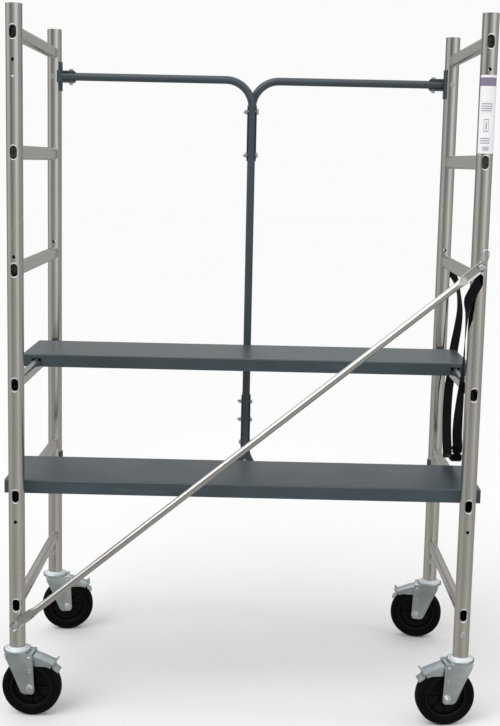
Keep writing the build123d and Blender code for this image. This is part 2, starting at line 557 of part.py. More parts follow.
def make_clip():
    x, z = HALF_X, BRACE_TOP_Z
    head_back, y = clip_place()
    pin = rod(CLIP_HEAD_R, -CLIP_HEAD, (x, head_back, z), "Y")
    pin = fillet(pin.edges().filter_by(GeomType.CIRCLE).group_by(Axis.Y)[0], 1.5)
    tip_y = -HALF_Y + STILE_R + 7
    shank = rod(CLIP_PIN_R, tip_y - head_back, (x, head_back, z), "Y")
    pin += chamfer(shank.edges().filter_by(GeomType.CIRCLE).group_by(Axis.Y)[-1], 1.5)
    turn = Pos(x, y, z) * Rot(0, CLIP_LEAN_DEG, 0)
    pin -= turn * rod(CLIP_WIRE_R + RUNNING_GAP, 4 * CLIP_HEAD_R, (-2 * CLIP_HEAD_R, 0, 0), "X")
    save("clip_pin", pin)
    # The bow's two ends turn in the head's cross hole; it is open there by one wire's width.
    half = CLIP_BOW_WIDTH / 2
    top = CLIP_BOW_LENGTH
    bend = 5.0
    route = FilletPolyline((-CLIP_WIRE_R, 0, 0), (-half, 0, 0), (-half, 0, top), (half, 0, top),
                           (half, 0, 0), (CLIP_WIRE_R, 0, 0), radius=[2.0, bend, bend, 2.0])
    section = Plane(origin=(-CLIP_WIRE_R, 0, 0), z_dir=(-1, 0, 0)) * Circle(CLIP_WIRE_R)
    save("clip_bow", turn * sweep(section, path=route))


# ---- casters --------------------------------------------------------------------------------
def make_stem():
    """Plug in the stile, flange and king pin. It stands still while the fork turns."""
    stem = rod(STILE_R - STILE_WALL - SEAT_GAP, STEM_PLUG, (0, 0, STILE_BOTTOM), "Z")
    stem += rod(STILE_R + 1.5, 5, (0, 0, STILE_BOTTOM - 5), "Z")
    stem += rod(STEM_FLANGE_R, STEM_HEIGHT - 5 - SWIVEL_GAP, (0, 0, FORK_TOP + SWIVEL_GAP), "Z")
    stem += rod(KING_PIN_R, -(FORK_SHEET + 6 + 8), (0, 0, FORK_TOP + 6), "Z")
    stem += hex_prism(16.0, -5.5, (0, 0, FORK_TOP - FORK_SHEET - 0.3), "Z")
    return stem - rod(PIN_HOLE_D / 2, 2 * STILE_OD, (0, -STILE_OD, CASTER_BOLT_Z), "Y")


def make_fork():
    half_in = FORK_INSIDE / 2
    half_out = half_in + FORK_SHEET
    low = WHEEL_R - 14.5
    outline = [(FORK_FRONT_X, FORK_TOP), (FORK_BACK_X, FORK_TOP), (CASTER_TRAIL + 11.5, low),
               (CASTER_TRAIL - 21.0, low)]
    cheeks = plate_xz(outline, -half_out, half_out, 9.0, outline[2:])
    fork = cheeks - block(-60, 80, -half_in, half_in, 0, FORK_TOP - FORK_SHEET)
    top_edges = fork.edges().filter_by(Axis.X).group_by(Axis.Z)[-1]
    fork = fillet(top_edges, 2.4)
    dish = rod(RACE_R, 4.5, (0, 0, FORK_TOP - 0.5), "Z")
    dish += rod(RACE_R, 7.0, (0, 0, FORK_TOP), "Z")
    dish -= rod(RACE_R - RACE_RIM, 10.0, (0, 0, FORK_TOP + 4.0), "Z")
    fork += dish
    fork -= rod(KING_PIN_R + RUNNING_GAP, 40, (0, 0, FORK_TOP - 20), "Z")
    fork -= rod(AXLE_R + SEAT_GAP, 4 * half_out, (CASTER_TRAIL, -2 * half_out, WHEEL_R), "Y")
    fork -= rod(PEDAL_PIN_R + SEAT_GAP, 4 * half_out, (PEDAL_PIVOT_X, -2 * half_out, PEDAL_PIVOT_Z), "Y")
    return fork


def make_race():
    """Ring of the ball race between the fork's dish and the stem's flange."""
    low = FORK_TOP + 4.0
    ring = rod(STEM_FLANGE_R - 2, SWIVEL_GAP - 4.0 - 2 * RUNNING_GAP, (0, 0, low + RUNNING_GAP), "Z")
    return ring - rod(STEM_FLANGE_R - 12, SWIVEL_GAP, (0, 0, low - 1), "Z")


def make_axle_set():
    """Axle bolt with its nut, and the pedal's pin, which the fork holds."""
    half_out = FORK_INSIDE / 2 + FORK_SHEET
    x, z = CASTER_TRAIL, WHEEL_R
    axle = rod(AXLE_R, 2 * half_out + 10, (x, -half_out, z), "Y")
    axle += hex_prism(15.0, -5.0, (x, -half_out, z), "Y")
    nut = hex_prism(15.0, 7.0, (x, half_out, z), "Y")
    nut -= rod(AXLE_R + SEAT_GAP / 2, 12, (x, half_out - 1, z), "Y")
    pin = rod(PEDAL_PIN_R, 2 * half_out + 3, (PEDAL_PIVOT_X, -half_out - 1.5, PEDAL_PIVOT_Z), "Y")
    for side in (-1, 1):
        pin += rod(4.2, side * 1.6, (PEDAL_PIVOT_X, side * half_out, PEDAL_PIVOT_Z), "Y")
    return [axle, nut, pin]


def make_tyre():
    half = TYRE_WIDTH / 2
    tyre = rod(WHEEL_R, TYRE_WIDTH, (0, -half, 0), "Y")
    tyre = fillet(tyre.edges().filter_by(GeomType.CIRCLE), 9.0)
    tyre -= rod(TYRE_BORE_R, 2 * TYRE_WIDTH, (0, -TYRE_WIDTH, 0), "Y")
    return Pos(CASTER_TRAIL, 0, WHEEL_R) * tyre


def make_hub():
    """Moulded rim, web with round windows, and the boss that runs on the axle."""
    half = TYRE_WIDTH / 2 - 4
    rim = rod(TYRE_BORE_R, 2 * half, (0, -half, 0), "Y") - rod(TYRE_BORE_R - 5, 2 * half + 2, (0, -half - 1, 0), "Y")
    web = rod(TYRE_BORE_R - 2, HUB_WEB, (0, -HUB_WEB / 2, 0), "Y")
    boss = rod(HUB_BOSS_R, HUB_BOSS_WIDTH, (0, -HUB_BOSS_WIDTH / 2, 0), "Y")
    hub = rim + web + boss
    for i in range(6):
        rib = block(HUB_BOSS_R - 2, TYRE_BORE_R - 3, 1 - half, half - 1, -1.6, 1.6)
        hub += Rot(0, 60 * i, 0) * rib
    hub -= rod(AXLE_R + RUNNING_GAP, 2 * HUB_BOSS_WIDTH, (0, -HUB_BOSS_WIDTH, 0), "Y")
    return Pos(CASTER_TRAIL, 0, WHEEL_R) * hub


def over_tyre(height, degrees):
    """A point in the wheel's plane: height above the tread, degrees from the trail side."""
    turn = math.radians(degrees)
    radius = WHEEL_R + height
    return (CASTER_TRAIL + radius * math.cos(turn), WHEEL_R + radius * math.sin(turn))


def make_pedal():
    """Brake pedal: a channel over the tyre, with a raised lip, a lower tab and a shoe."""
    w, t = PEDAL_HALF_WIDTH, PEDAL_SHEET
    x, z = PEDAL_PIVOT_X, PEDAL_PIVOT_Z
    root, knee, tip = (x - 6, z + 4), (x + 8, z + 4), over_tyre(12.0, 47.3)
    under = (tip[0] - 0.5 * t, tip[1] - 1.1 * t)
    top = plate_xz([root, knee, tip, under, (x + 7.6, z + 1.6), (x - 6, z + 1.6)], -w, w)
    lip = plate_xz([over_tyre(9.6, 48.0), over_tyre(9.8, 46.1), over_tyre(37.3, 49.2), over_tyre(36.6, 50.6)],
                   -w, w)
    tab = plate_xz([over_tyre(8.0, 49.6), over_tyre(10.0, 48.0), over_tyre(4.4, 40.9), over_tyre(9.0, 31.0),
                    over_tyre(6.8, 30.4), over_tyre(1.7, 41.1)], -w + 3, w - 3)
    pedal = top + lip + tab
    side = [(x - 6, z + 3), (x + 8, z + 3), over_tyre(9.7, 49.6), over_tyre(0.3, 45.3), over_tyre(-5.0, 56.1),
            (x + 7, z - 22), (x - 6, z - 7)]
    for a, b in ((-w, t - w), (w - t, w)):
        pedal += plate_xz(side, a, b)
    shoe = rod(WHEEL_R + 5.0, 26.0, (CASTER_TRAIL, -13.0, WHEEL_R), "Y")
    shoe -= rod(WHEEL_R + SHOE_GAP, 40.0, (CASTER_TRAIL, -20.0, WHEEL_R), "Y")
    wedge = plate_xz([over_tyre(-8.3, 77.0), over_tyre(-9.2, 63.8), over_tyre(6.3, 67.6), over_tyre(5.9, 79.3)],
                     -13, 13)
    pedal += shoe & wedge
    pedal -= rod(PEDAL_PIN_R + RUNNING_GAP, 4 * w, (x, -2 * w, z), "Y")
    return pedal


def make_casters():
    spots = {"front_left": "left_front", "back_left": "left_back",
             "front_right": "right_front", "back_right": "right_back"}
    stem, fork, axle_set = make_stem(), make_fork(), make_axle_set()
    tyre, hub, pedal = make_tyre(), make_hub(), make_pedal()
    stems, races = [], []
    for name, stile in spots.items():
        x, y = STILES[stile]
        stems.append(Pos(x, y, 0) * stem)
        races.append(Pos(x, y, 0) * make_race())
        place = Pos(x, y, 0) * Rot(0, 0, CASTER_TURN[name])
        save(f"{name}_fork", place * fork)
        save(f"{name}_axle", [place * piece for piece in axle_set])
        save(f"{name}_tyre", place * tyre)
        save(f"{name}_hub", place * hub)
        save(f"{name}_pedal", place * pedal)
    save("caster_stems", stems)
    save("swivel_races", races)


# ---- strap, buckle and label ----------------------------------------------------------------
def ribbon(stations):
    """Flat webbing through stations, each a centre point and a direction of its width."""
    centres = [Vector(*c) for c, _ in stations]
    wires = []
    for i, (_, across) in enumerate(stations):
        ahead = centres[min(i + 1, len(centres) - 1)] - centres[max(i - 1, 0)]
        ahead = ahead.normalized()
        across = Vector(*across).normalized()
        across = (across - ahead * across.dot(ahead)).normalized()
        plane = Plane(origin=centres[i], x_dir=across, z_dir=ahead)
        wires.append(plane * Rectangle(STRAP_WIDTH, STRAP_THICK))
    return loft(wires, ruled=True)


def strap_routes():
    """Front strand from the rung to the buckle, and rear strand back to the rung.
    The strap goes through the hollow fourth rung of the right frame."""
    x, z = HALF_X, RUNG_Z[3]
    front, back = -HALF_Y - STILE_R, HALF_Y + STILE_R
    upright, side, along = (0, 0, 1), (1, 0, 0), (0, 1, 0)
    front_strand = [
        ((x - 6, front - 3.4, z - 10), (0.87, 0, -0.50)),
        ((x - 20, front - 4.2, z - 33), (0.87, 0, -0.50)),
        ((x - 31, front - 3.4, z - 55), (0.80, -0.40, -0.45)),
        ((x - 34, front + 12, z - 84), (0.30, -0.95, 0)),
        ((x - 31, front + 42, z - 130), along),
        ((x - 24, front + 70, z - 180), along),
        ((x - 20, front + 94, z - 246), along),
        ((x - 19, front + 112, z - 310), (0.30, 0.95, 0)),
        ((x - 17, front + 138, z - 370), (0.85, 0.5, 0)),
        ((x - 10, front + 172, z - 412), side),
        ((x - 4, front + 200, z - 446), side),
    ]
    buckle_end = ((x + 1, front + 226, z - 496), side)
    rear_strand = [
        (buckle_end[0], side),
        ((x + 1, front + 262, z - 502), side),
        ((x, front + 300, z - 502.5), side),
        ((x - 1, front + 332, z - 503.5), side),
        ((x - 2, front + 350, z - 518), side),
        ((x - 3, front + 366, z - 519), side),
        ((x - 2, front + 390, z - 492), side),
        ((x + 4, front + 440, z - 455), (0.95, 0.3, 0)),
        ((x + 12, front + 500, z - 416), (0.85, 0.5, 0)),
        ((x + 24, front + 556, z - 376), (0.7, 0.7, 0)),
        ((x + 34, front + 598, z - 334), (0.3, 0.95, 0)),
        ((x + 38, back - 50, z - 290), along),
        ((x + 41, back - 50, z - 246), along),
        ((x + 45, back - 38, z - 180), along),
        ((x + 46, back - 24, z - 118), (0.30, 0.95, 0)),
        ((x + 44, back - 8, z - 84), (0.55, 0.83, 0)),
        ((x + 34, back + 4, z - 52), (0.87, 0.2, 0.50)),
        ((x + 19, back + 4.2, z - 28), (0.87, 0, 0.50)),
        ((x + 6, back + 3.4, z - 8), (0.87, 0, 0.50)),
    ]
    # Inside the rung the webbing stands on edge on the bottom of the bore.
    low = z - RUNG_HEIGHT / 2 + RUNG_WALL + STRAP_WIDTH / 2 + SEAT_GAP
    inside = [((x, front - 3.2, low), upright), ((x, back + 3.2, low), upright)]
    return inside, front_strand, rear_strand


def make_strap():
    inside, front_strand, rear_strand = strap_routes()
    top, end = Vector(*front_strand[-1][0]), Vector(*rear_strand[0][0])
    along, middle = (top - end).normalized(), (top + end) * 0.5
    # The strands end just short of the buckle that joins them.
    for strand, i, way in ((front_strand, -1, 1), (rear_strand, 0, -1)):
        stop = middle + along * (way * (BUCKLE_LENGTH / 2 + BUCKLE_GAP))
        strand[i] = (tuple(stop), strand[i][1])
    save("strap", [ribbon(inside), ribbon(front_strand), ribbon(rear_strand)])
    plane = Plane(origin=middle, x_dir=(1, 0, 0), z_dir=Vector(1, 0, 0).cross(along))
    half_w, half_l, half_t = BUCKLE_WIDTH / 2, BUCKLE_LENGTH / 2, BUCKLE_THICK / 2
    split = 7.0
    waist = half_w - 9.0
    shoulder = 9.0 - half_l
    socket_face = make_face(Polyline(
        (-half_w, -half_l), (half_w, -half_l), (half_w, shoulder), (waist, -4), (waist, split),
        (-waist, split), (-waist, -4), (-half_w, shoulder), close=True))
    socket = Pos(0, 0, -half_t) * extrude(socket_face, BUCKLE_THICK)
    socket -= Pos(0, 5 - half_l, 0) * Box(STRAP_WIDTH + 1, 3.4, 2 * BUCKLE_THICK)
    tongue_face = make_face(Polyline(
        (-waist, split + SEAT_GAP), (waist, split + SEAT_GAP), (half_w, half_l - 8), (half_w, half_l),
        (-half_w, half_l), (-half_w, half_l - 8), close=True))
    tongue = Pos(0, 0, 1 - half_t) * extrude(tongue_face, BUCKLE_THICK - 2)
    tongue -= Pos(0, half_l - 5, 0) * Box(STRAP_WIDTH + 1, 3.4, 2 * BUCKLE_THICK)
    save("buckle_socket", plane.location * socket)
    save("buckle_tongue", plane.location * tongue)


def make_label():
    sheet = Cylinder(STILE_R + 0.05 + LABEL_THICK, LABEL_LENGTH, arc_size=2 * LABEL_HALF_DEG,
                     align=(Align.NONE, Align.NONE, Align.MIN))
    sheet = Rot(0, 0, -90 - LABEL_HALF_DEG) * sheet
    sheet -= rod(STILE_R + 0.05, LABEL_LENGTH + 2, (0, 0, -1), "Z")
    save("rating_label", Pos(HALF_X, -HALF_Y, STILE_TOP - LABEL_TOP_DOWN - LABEL_LENGTH) * sheet)


def main():
    os.makedirs("parts", exist_ok=True)
    stile = make_stile()
    for name, (x, y) in STILES.items():
        save(f"{name}_stile", Pos(x, y, 0) * stile)
    rung = make_rung()
    for frame, x in (("left", -HALF_X), ("right", HALF_X)):
        save(f"{frame}_rungs", [Pos(x, 0, z) * rung for z in RUNG_Z])
    make_plank("upper", UPPER_PLANK_Y, RUNG_Z[UPPER_PLANK_RUNG - 1])
    make_plank("lower", LOWER_PLANK_Y, RUNG_Z[LOWER_PLANK_RUNG - 1])
    make_guard_rail()
    save("diagonal_brace", make_brace())
    make_caster_bolts()
    make_clip()
    make_casters()
    make_strap()
    make_label()


main()
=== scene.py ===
import json
import math

import bmesh
import bpy
from mathutils import Matrix, Vector


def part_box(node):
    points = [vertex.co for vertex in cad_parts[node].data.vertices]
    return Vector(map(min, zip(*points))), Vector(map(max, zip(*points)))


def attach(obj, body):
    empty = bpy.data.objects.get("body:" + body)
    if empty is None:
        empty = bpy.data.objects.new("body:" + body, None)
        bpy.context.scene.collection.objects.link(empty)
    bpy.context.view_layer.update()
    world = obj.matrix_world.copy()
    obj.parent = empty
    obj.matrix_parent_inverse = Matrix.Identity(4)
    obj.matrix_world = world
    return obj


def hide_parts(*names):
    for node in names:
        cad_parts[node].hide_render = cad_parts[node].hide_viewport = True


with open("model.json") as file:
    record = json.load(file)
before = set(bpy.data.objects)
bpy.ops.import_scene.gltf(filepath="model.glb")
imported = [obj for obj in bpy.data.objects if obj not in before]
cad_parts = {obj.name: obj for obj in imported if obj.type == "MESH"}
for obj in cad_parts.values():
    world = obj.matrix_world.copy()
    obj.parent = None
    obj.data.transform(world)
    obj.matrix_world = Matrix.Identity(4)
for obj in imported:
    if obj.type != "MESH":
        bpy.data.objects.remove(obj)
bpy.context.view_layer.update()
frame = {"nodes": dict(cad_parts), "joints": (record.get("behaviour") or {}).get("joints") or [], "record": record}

bl_info = {
    "name": "Rolling Scaffold Section",
    "version": (1, 0, 0),
    "blender": (4, 5, 0),
    "location": "View3D > Sidebar > Scaffold",
    "description": "Finishes a rolling scaffold section on its working frame",
    "category": "Add Mesh",
}

MM = 0.001
CORNERS = ("front_left", "back_left", "front_right", "back_right")


# ---- places, all read from the frame ---------------------------------------------------
def middle(node):
    low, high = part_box(node)
    return (Vector(low) + Vector(high)) / 2


def size(node):
    low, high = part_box(node)
    return Vector(high) - Vector(low)


def joint(name):
    return next(j for j in frame["joints"] if j["name"] == name)


def caster_place(corner):
    """Matrix from a caster's own axes, X along its trail, to the whole object's."""
    swivel, roll = joint(f"{corner}_swivel"), joint(f"{corner}_roll")
    turn = math.atan2(-roll["axis"][0], roll["axis"][1])
    x, y, _ = swivel["pos_m"]
    return Matrix.Translation((x, y, 0)) @ Matrix.Rotation(turn, 4, "Z")


STILE = middle("right_front_stile")
STILE_R = size("right_front_stile").x / 2
STILE_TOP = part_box("right_front_stile")[1][2]
WHEEL_R = size("front_left_tyre").z / 2
AXLE = Vector(joint("front_left_roll")["pos_m"]) - Vector(joint("front_left_swivel")["pos_m"])
TRAIL = math.hypot(AXLE.x, AXLE.y)
PIVOT_Z = joint("front_left_brake_release")["pos_m"][2]

# Sizes every part of a caster shares, in mm.
PIVOT_X = 35
PIN_X = PIVOT_X * MM
FORK_TOP = 2 * WHEEL_R / MM + 16
CHEEK_IN = 24.5
CHEEK_OUT = 27.5
PEDAL_HALF = 22.5
BEAD = 7.4


# ---- sizes and colours a user may change --------------------------------------------------
class ScaffoldFinish(bpy.types.PropertyGroup):
    tube: bpy.props.FloatVectorProperty(
        name="Tube", description="Colour of the bright drawn tubes", subtype="COLOR",
        default=(0.66, 0.655, 0.635))
    tube_gloss: bpy.props.FloatProperty(
        name="Tube roughness", description="How dull the drawn tubes are", subtype="FACTOR",
        default=0.17, min=0.02, max=1.0)
    deck: bpy.props.FloatVectorProperty(
        name="Plank coat", description="Colour of the powder coat on the planks", subtype="COLOR",
        default=(0.034, 0.050, 0.060))
    rail: bpy.props.FloatVectorProperty(
        name="Rail coat", description="Colour of the powder coat on the guard rail", subtype="COLOR",
        default=(0.036, 0.050, 0.060))
    zinc: bpy.props.FloatVectorProperty(
        name="Zinc", description="Colour of the zinc on casters and fasteners", subtype="COLOR",
        default=(0.66, 0.69, 0.71))
    rubber: bpy.props.FloatVectorProperty(
        name="Rubber", description="Colour of the tyres", subtype="COLOR",
        default=(0.0016, 0.0016, 0.0024))
    webbing: bpy.props.FloatVectorProperty(
        name="Webbing", description="Colour of the strap", subtype="COLOR",
        default=(0.0022, 0.0022, 0.0036))


class ScaffoldSizes(bpy.types.PropertyGroup):
    tyre_half: bpy.props.FloatProperty(
        name="Tyre half width", description="From the wheel's middle to its side", subtype="DISTANCE",
        default=18 * MM)
    sheet: bpy.props.FloatProperty(
        name="Caster sheet", description="Thickness of the pressed caster sheet", subtype="DISTANCE",
        default=3 * MM)
    strap_width: bpy.props.FloatProperty(
        name="Strap width", description="Width of the webbing", subtype="DISTANCE", default=25 * MM)
    strap_thick: bpy.props.FloatProperty(
        name="Strap thickness", description="Thickness of the webbing", subtype="DISTANCE",
        default=1.5 * MM)
    bow_wire: bpy.props.FloatProperty(
        name="Bow wire", description="Radius of the clip pin's bow wire", subtype="DISTANCE",
        default=1.4 * MM)


def finish():
    return bpy.context.scene.scaffold_finish


def sizes():
    return bpy.context.scene.scaffold_sizes


# ---- shader maths ---------------------------------------------------------------------------
class Value:
    """A shader socket that takes part in Python arithmetic."""

    def __init__(self, shader, socket):
        self.shader = shader
        self.socket = socket

    def math(self, operation, *others):
        return self.shader.math(operation, self, *others)

    def __add__(self, other):
        return self.math("ADD", other)

    def __sub__(self, other):
        return self.math("SUBTRACT", other)

    def __rsub__(self, other):
        return self.shader.math("SUBTRACT", other, self)

    def __mul__(self, other):
        return self.math("MULTIPLY", other)

    def __truediv__(self, other):
        return self.math("DIVIDE", other)

    def __gt__(self, other):
        return self.math("GREATER_THAN", other)

    def __lt__(self, other):
        return self.math("LESS_THAN", other)


def add_node(tree, kind, settings, values=None, stops=()):
    """A node with its settings made first, then values or links on its sockets."""
    made = tree.nodes.new(kind)
    for key, value in settings.items():
        setattr(made, key, value)
    if stops:
        ramp = made.color_ramp.elements
        while len(ramp) < len(stops):
            ramp.new(0.5)
        for element, (place, colour) in zip(ramp, stops):
            element.position = place
            element.color = (*colour, 1)
    for key, value in (values or {}).items():
        value = value.socket if isinstance(value, Value) else value
        if isinstance(value, bpy.types.NodeSocket):
            tree.links.new(value, made.inputs[key])
        elif value is not None:
            made.inputs[key].default_value = value
    return made


class Shader:
    """A material round one Principled BSDF, with constants set on its sockets."""

    def __init__(self, name, **constants):
        self.material = bpy.data.materials.new(name)
        self.material.use_nodes = True
        self.tree = self.material.node_tree
        self.surface = self.tree.nodes["Principled BSDF"]
        for socket, value in constants.items():
            self.surface.inputs[socket.replace("_", " ")].default_value = value
        coords = self.node("ShaderNodeTexCoord", {})
        self.object = coords.outputs["Object"]
        self.uv = coords.outputs["UV"]

    def node(self, kind, settings, values=None, stops=()):
        return add_node(self.tree, kind, settings, values, stops)

    def math(self, operation, *values):
        made = self.node("ShaderNodeMath", {"operation": operation}, dict(enumerate(values)))
        return Value(self, made.outputs[0])

    def placed(self, scale, turn=(0, 0, 0), source=None):
        values = {"Vector": source or self.object, "Scale": scale, "Rotation": turn}
        return self.node("ShaderNodeMapping", {}, values).outputs[0]

    def noise(self, scale, detail=3.0, stretch=(1, 1, 1), source=None):
        values = {"Vector": self.placed(stretch, source=source), "Scale": scale, "Detail": detail}
        return Value(self, self.node("ShaderNodeTexNoise", {}, values).outputs["Fac"])

    def cells(self, scale, feature="F1"):
        values = {"Vector": self.object, "Scale": scale}
        made = self.node("ShaderNodeTexVoronoi", {"feature": feature}, values)
        return Value(self, made.outputs["Distance"])

    def ramp(self, value, *stops):
        greys = [(place, (tone, tone, tone)) for place, tone in stops]
        made = self.node("ShaderNodeValToRGB", {}, {"Fac": value}, greys)
        return Value(self, made.outputs["Color"])

    def axes(self, source=None):
        made = self.node("ShaderNodeSeparateXYZ", {}, {"Vector": source or self.object})
        return [Value(self, made.outputs[i]) for i in range(3)]

    def mix(self, factor, first, second):
        """Colour mix; a colour is a tuple of three or another mix's result."""
        values = {"Factor": factor}
        for key, colour in ((6, first), (7, second)):
            values[key] = colour if isinstance(colour, Value) else (*colour, 1.0)
        made = self.node("ShaderNodeMix", {"data_type": "RGBA"}, values)
        return Value(self, made.outputs[2])

    def put(self, socket, value):
        self.tree.links.new(value.socket, self.surface.inputs[socket])

    def bump(self, height, distance, strength=1.0):
        values = {"Height": height, "Distance": distance, "Strength": strength}
        made = self.node("ShaderNodeBump", {}, values)
        self.tree.links.new(made.outputs[0], self.surface.inputs["Normal"])


def shade(colour, factor):
    return tuple(min(1.0, c * factor) for c in colour)


# ---- materials -------------------------------------------------------------------------------
def drawn_tube(name, colour, roughness):
    """Bright drawn metal: long streaks along the tube, faint spangle, a few dull handling marks."""
    s = Shader(name, Metallic=1.0)
    streaks = s.noise(220.0, 4.0, (1, 1, 0.012))
    cloud = s.noise(9.0, 4.0)
    marks = s.ramp(s.noise(34.0, 6.0, (1, 1, 0.35)), (0.60, 0.0), (0.72, 1.0))
    s.put("Base Color", s.mix(streaks * 0.5 + cloud * 0.5, shade(colour, 0.86), shade(colour, 1.14)))
    s.put("Roughness", streaks * 0.12 + cloud * 0.08 + marks * 0.12 + (roughness - 0.10))
    s.bump(streaks * 0.6 + marks * 0.2, 0.00006)
    return s.material


def painted_highlight_metal(name, colour):
    """Pale metal with a fine grain and file marks; its near-white colour is a painted highlight."""
    s = Shader(name, Metallic=0.1)
    grain = s.noise(900.0, 3.0)
    file_marks = s.noise(260.0, 2.0, (1, 1, 0.1))
    # The pale colour passed in stands for a highlight: painted highlight, not the metal's own tone.
    s.put("Base Color", s.mix(grain * 0.6 + file_marks * 0.4, shade(colour, 0.86), shade(colour, 1.06)))
    s.put("Roughness", grain * 0.12 + 0.36)
    s.bump(grain + file_marks * 0.5, 0.00005)
    return s.material


def powder_coat(name, colour, roughness):
    """Satin powder coat: orange peel, fine speckle and a little dust and scuffing."""
    s = Shader(name, Coat_Roughness=0.3, Coat_Weight=0.15)
    peel = s.cells(420.0, "SMOOTH_F1")
    speckle = s.noise(1500.0, 2.0)
    dust = s.ramp(s.noise(7.0, 6.0), (0.42, 0.0), (0.75, 1.0))
    scuffs = s.ramp(s.noise(60.0, 7.0, (0.15, 1, 1)), (0.64, 0.0), (0.70, 1.0))
    base = s.mix(speckle * 0.7 + 0.15, shade(colour, 0.84), shade(colour, 1.18))
    base = s.mix(dust * 0.18, base, shade(colour, 2.2))
    s.put("Base Color", s.mix(scuffs * 0.22, base, shade(colour, 2.6)))
    s.put("Roughness", dust * 0.12 + peel * 0.10 + scuffs * 0.12 + roughness)
    s.bump(peel * 0.5 + speckle * 0.15, 0.00012)
    return s.material


def zinc_plate(name, colour, roughness):
    """Zinc on steel: cloudy brightness with faint rolling lines and small pits."""
    s = Shader(name, Metallic=1.0)
    cloud = s.noise(38.0, 5.0)
    lines = s.noise(300.0, 3.0, (1, 0.08, 1))
    pits = s.ramp(s.cells(900.0), (0.05, 1.0), (0.16, 0.0))
    s.put("Base Color", s.mix(cloud, shade(colour, 0.78), shade(colour, 1.18)))
    s.put("Roughness", cloud * 0.16 + lines * 0.08 + pits * 0.15 + (roughness - 0.08))
    s.bump(lines * 0.4 - pits * 0.3, 0.00005)
    return s.material


def rubber(name, colour):
    """Solid rubber with a dusty bloom and a fine moulded grain."""
    s = Shader(name, Specular_IOR_Level=0.10)
    grain = s.noise(1400.0, 3.0)
    bloom = s.ramp(s.noise(26.0, 5.0), (0.40, 0.0), (0.80, 1.0))
    s.put("Base Color", s.mix(bloom * 0.3, colour, shade(colour, 2.2)))
    s.put("Roughness", bloom * 0.18 + grain * 0.08 + 0.52)
    s.bump(grain, 0.00008)
    return s.material


def moulded(name, colour, roughness):
    """Moulded plastic with a spark-eroded grain."""
    s = Shader(name, Specular_IOR_Level=0.16)
    grain = s.cells(1100.0)
    flow = s.noise(30.0, 3.0)
    s.put("Base Color", s.mix(flow, shade(colour, 0.85), shade(colour, 1.3)))
    s.put("Roughness", flow * 0.12 + grain * 0.10 + roughness)
    s.bump(grain, 0.00006)
    return s.material


def woven(name, colour):
    """Webbing: UV runs in metres, U along the strap and V across it, with a herringbone rib."""
    s = Shader(name, Sheen_Weight=0.03, Sheen_Roughness=0.45, Specular_IOR_Level=0.12)
    u, v, _ = s.axes(s.uv)
    arm = v.math("PINGPONG", 0.0042)
    rib = ((u + arm * 0.9) * (2 * math.pi / 0.0021)).math("SINE") * 0.5 + 0.5
    yarn = (v * (2 * math.pi / 0.0014)).math("SINE") * 0.5 + 0.5
    fibre = s.noise(2600.0, 3.0)
    height = rib * 0.65 + yarn * 0.25 + fibre * 0.25
    worn = s.ramp(s.noise(40.0, 4.0), (0.45, 0.0), (0.8, 1.0))
    # Colour follows the weave's height: painted shade in the grooves and a painted highlight on the rib crests;
    # worn adds real wear.
    s.put("Base Color", s.mix(height * 0.8 + worn * 0.3, shade(colour, 0.5), shade(colour, 2.4)))
    s.put("Roughness", fibre * 0.15 + 0.72)
    s.bump(height, 0.00035)
    return s.material


def label_film():
    """Printed film: plain bars and boxes in place of text, under a clear satin surface."""
    s = Shader("label_film", Coat_Weight=0.3, Coat_Roughness=0.15)
    low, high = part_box("rating_label")
    x, y, z = s.axes()
    tall = high[2] - low[2]
    up = (z - low[2]) / tall
    dx = (x - STILE.x).math("ARCTAN2", STILE.y - y) * STILE_R

    def band(value, start, end):
        return (value > start) * (value < end)

    def box(x0, x1, z0, z1):
        return band(dx, x0 * MM, x1 * MM) * band(up, z0, z1)

    header = band(up, 0.86, 0.97)
    rows = (up * 34.0).math("FRACT")
    bars = (rows > 0.35) * (rows < 0.75)
    ragged = s.noise(60.0, 0.0, (0, 0, 1)) * 0.012 - 0.002
    text = bars * box(-16, 14, 0.52, 0.66) * (dx < ragged + 0.006)
    text = text + bars * box(-16, 14, 0.12, 0.20) * (dx < ragged + 0.004)
    codes = (dx * 900.0).math("FRACT")
    code = (codes > 0.45) * box(-10, 6, 0.03, 0.09)
    picture = box(-9, 3, 0.28, 0.44) - box(-8, 2, 0.29, 0.43)
    figure = box(-4, -1.5, 0.31, 0.40)
    ink = (text + code + picture + figure).math("MINIMUM", 1.0)
    grain = s.noise(500.0, 2.0)
    paper = s.mix(grain, (0.74, 0.74, 0.77), (0.82, 0.82, 0.84))
    printed = s.mix(header, paper, (0.20, 0.17, 0.26))
    s.put("Base Color", s.mix(ink * 0.85, printed, (0.09, 0.09, 0.12)))
    s.put("Roughness", grain * 0.1 + 0.3)
    return s.material


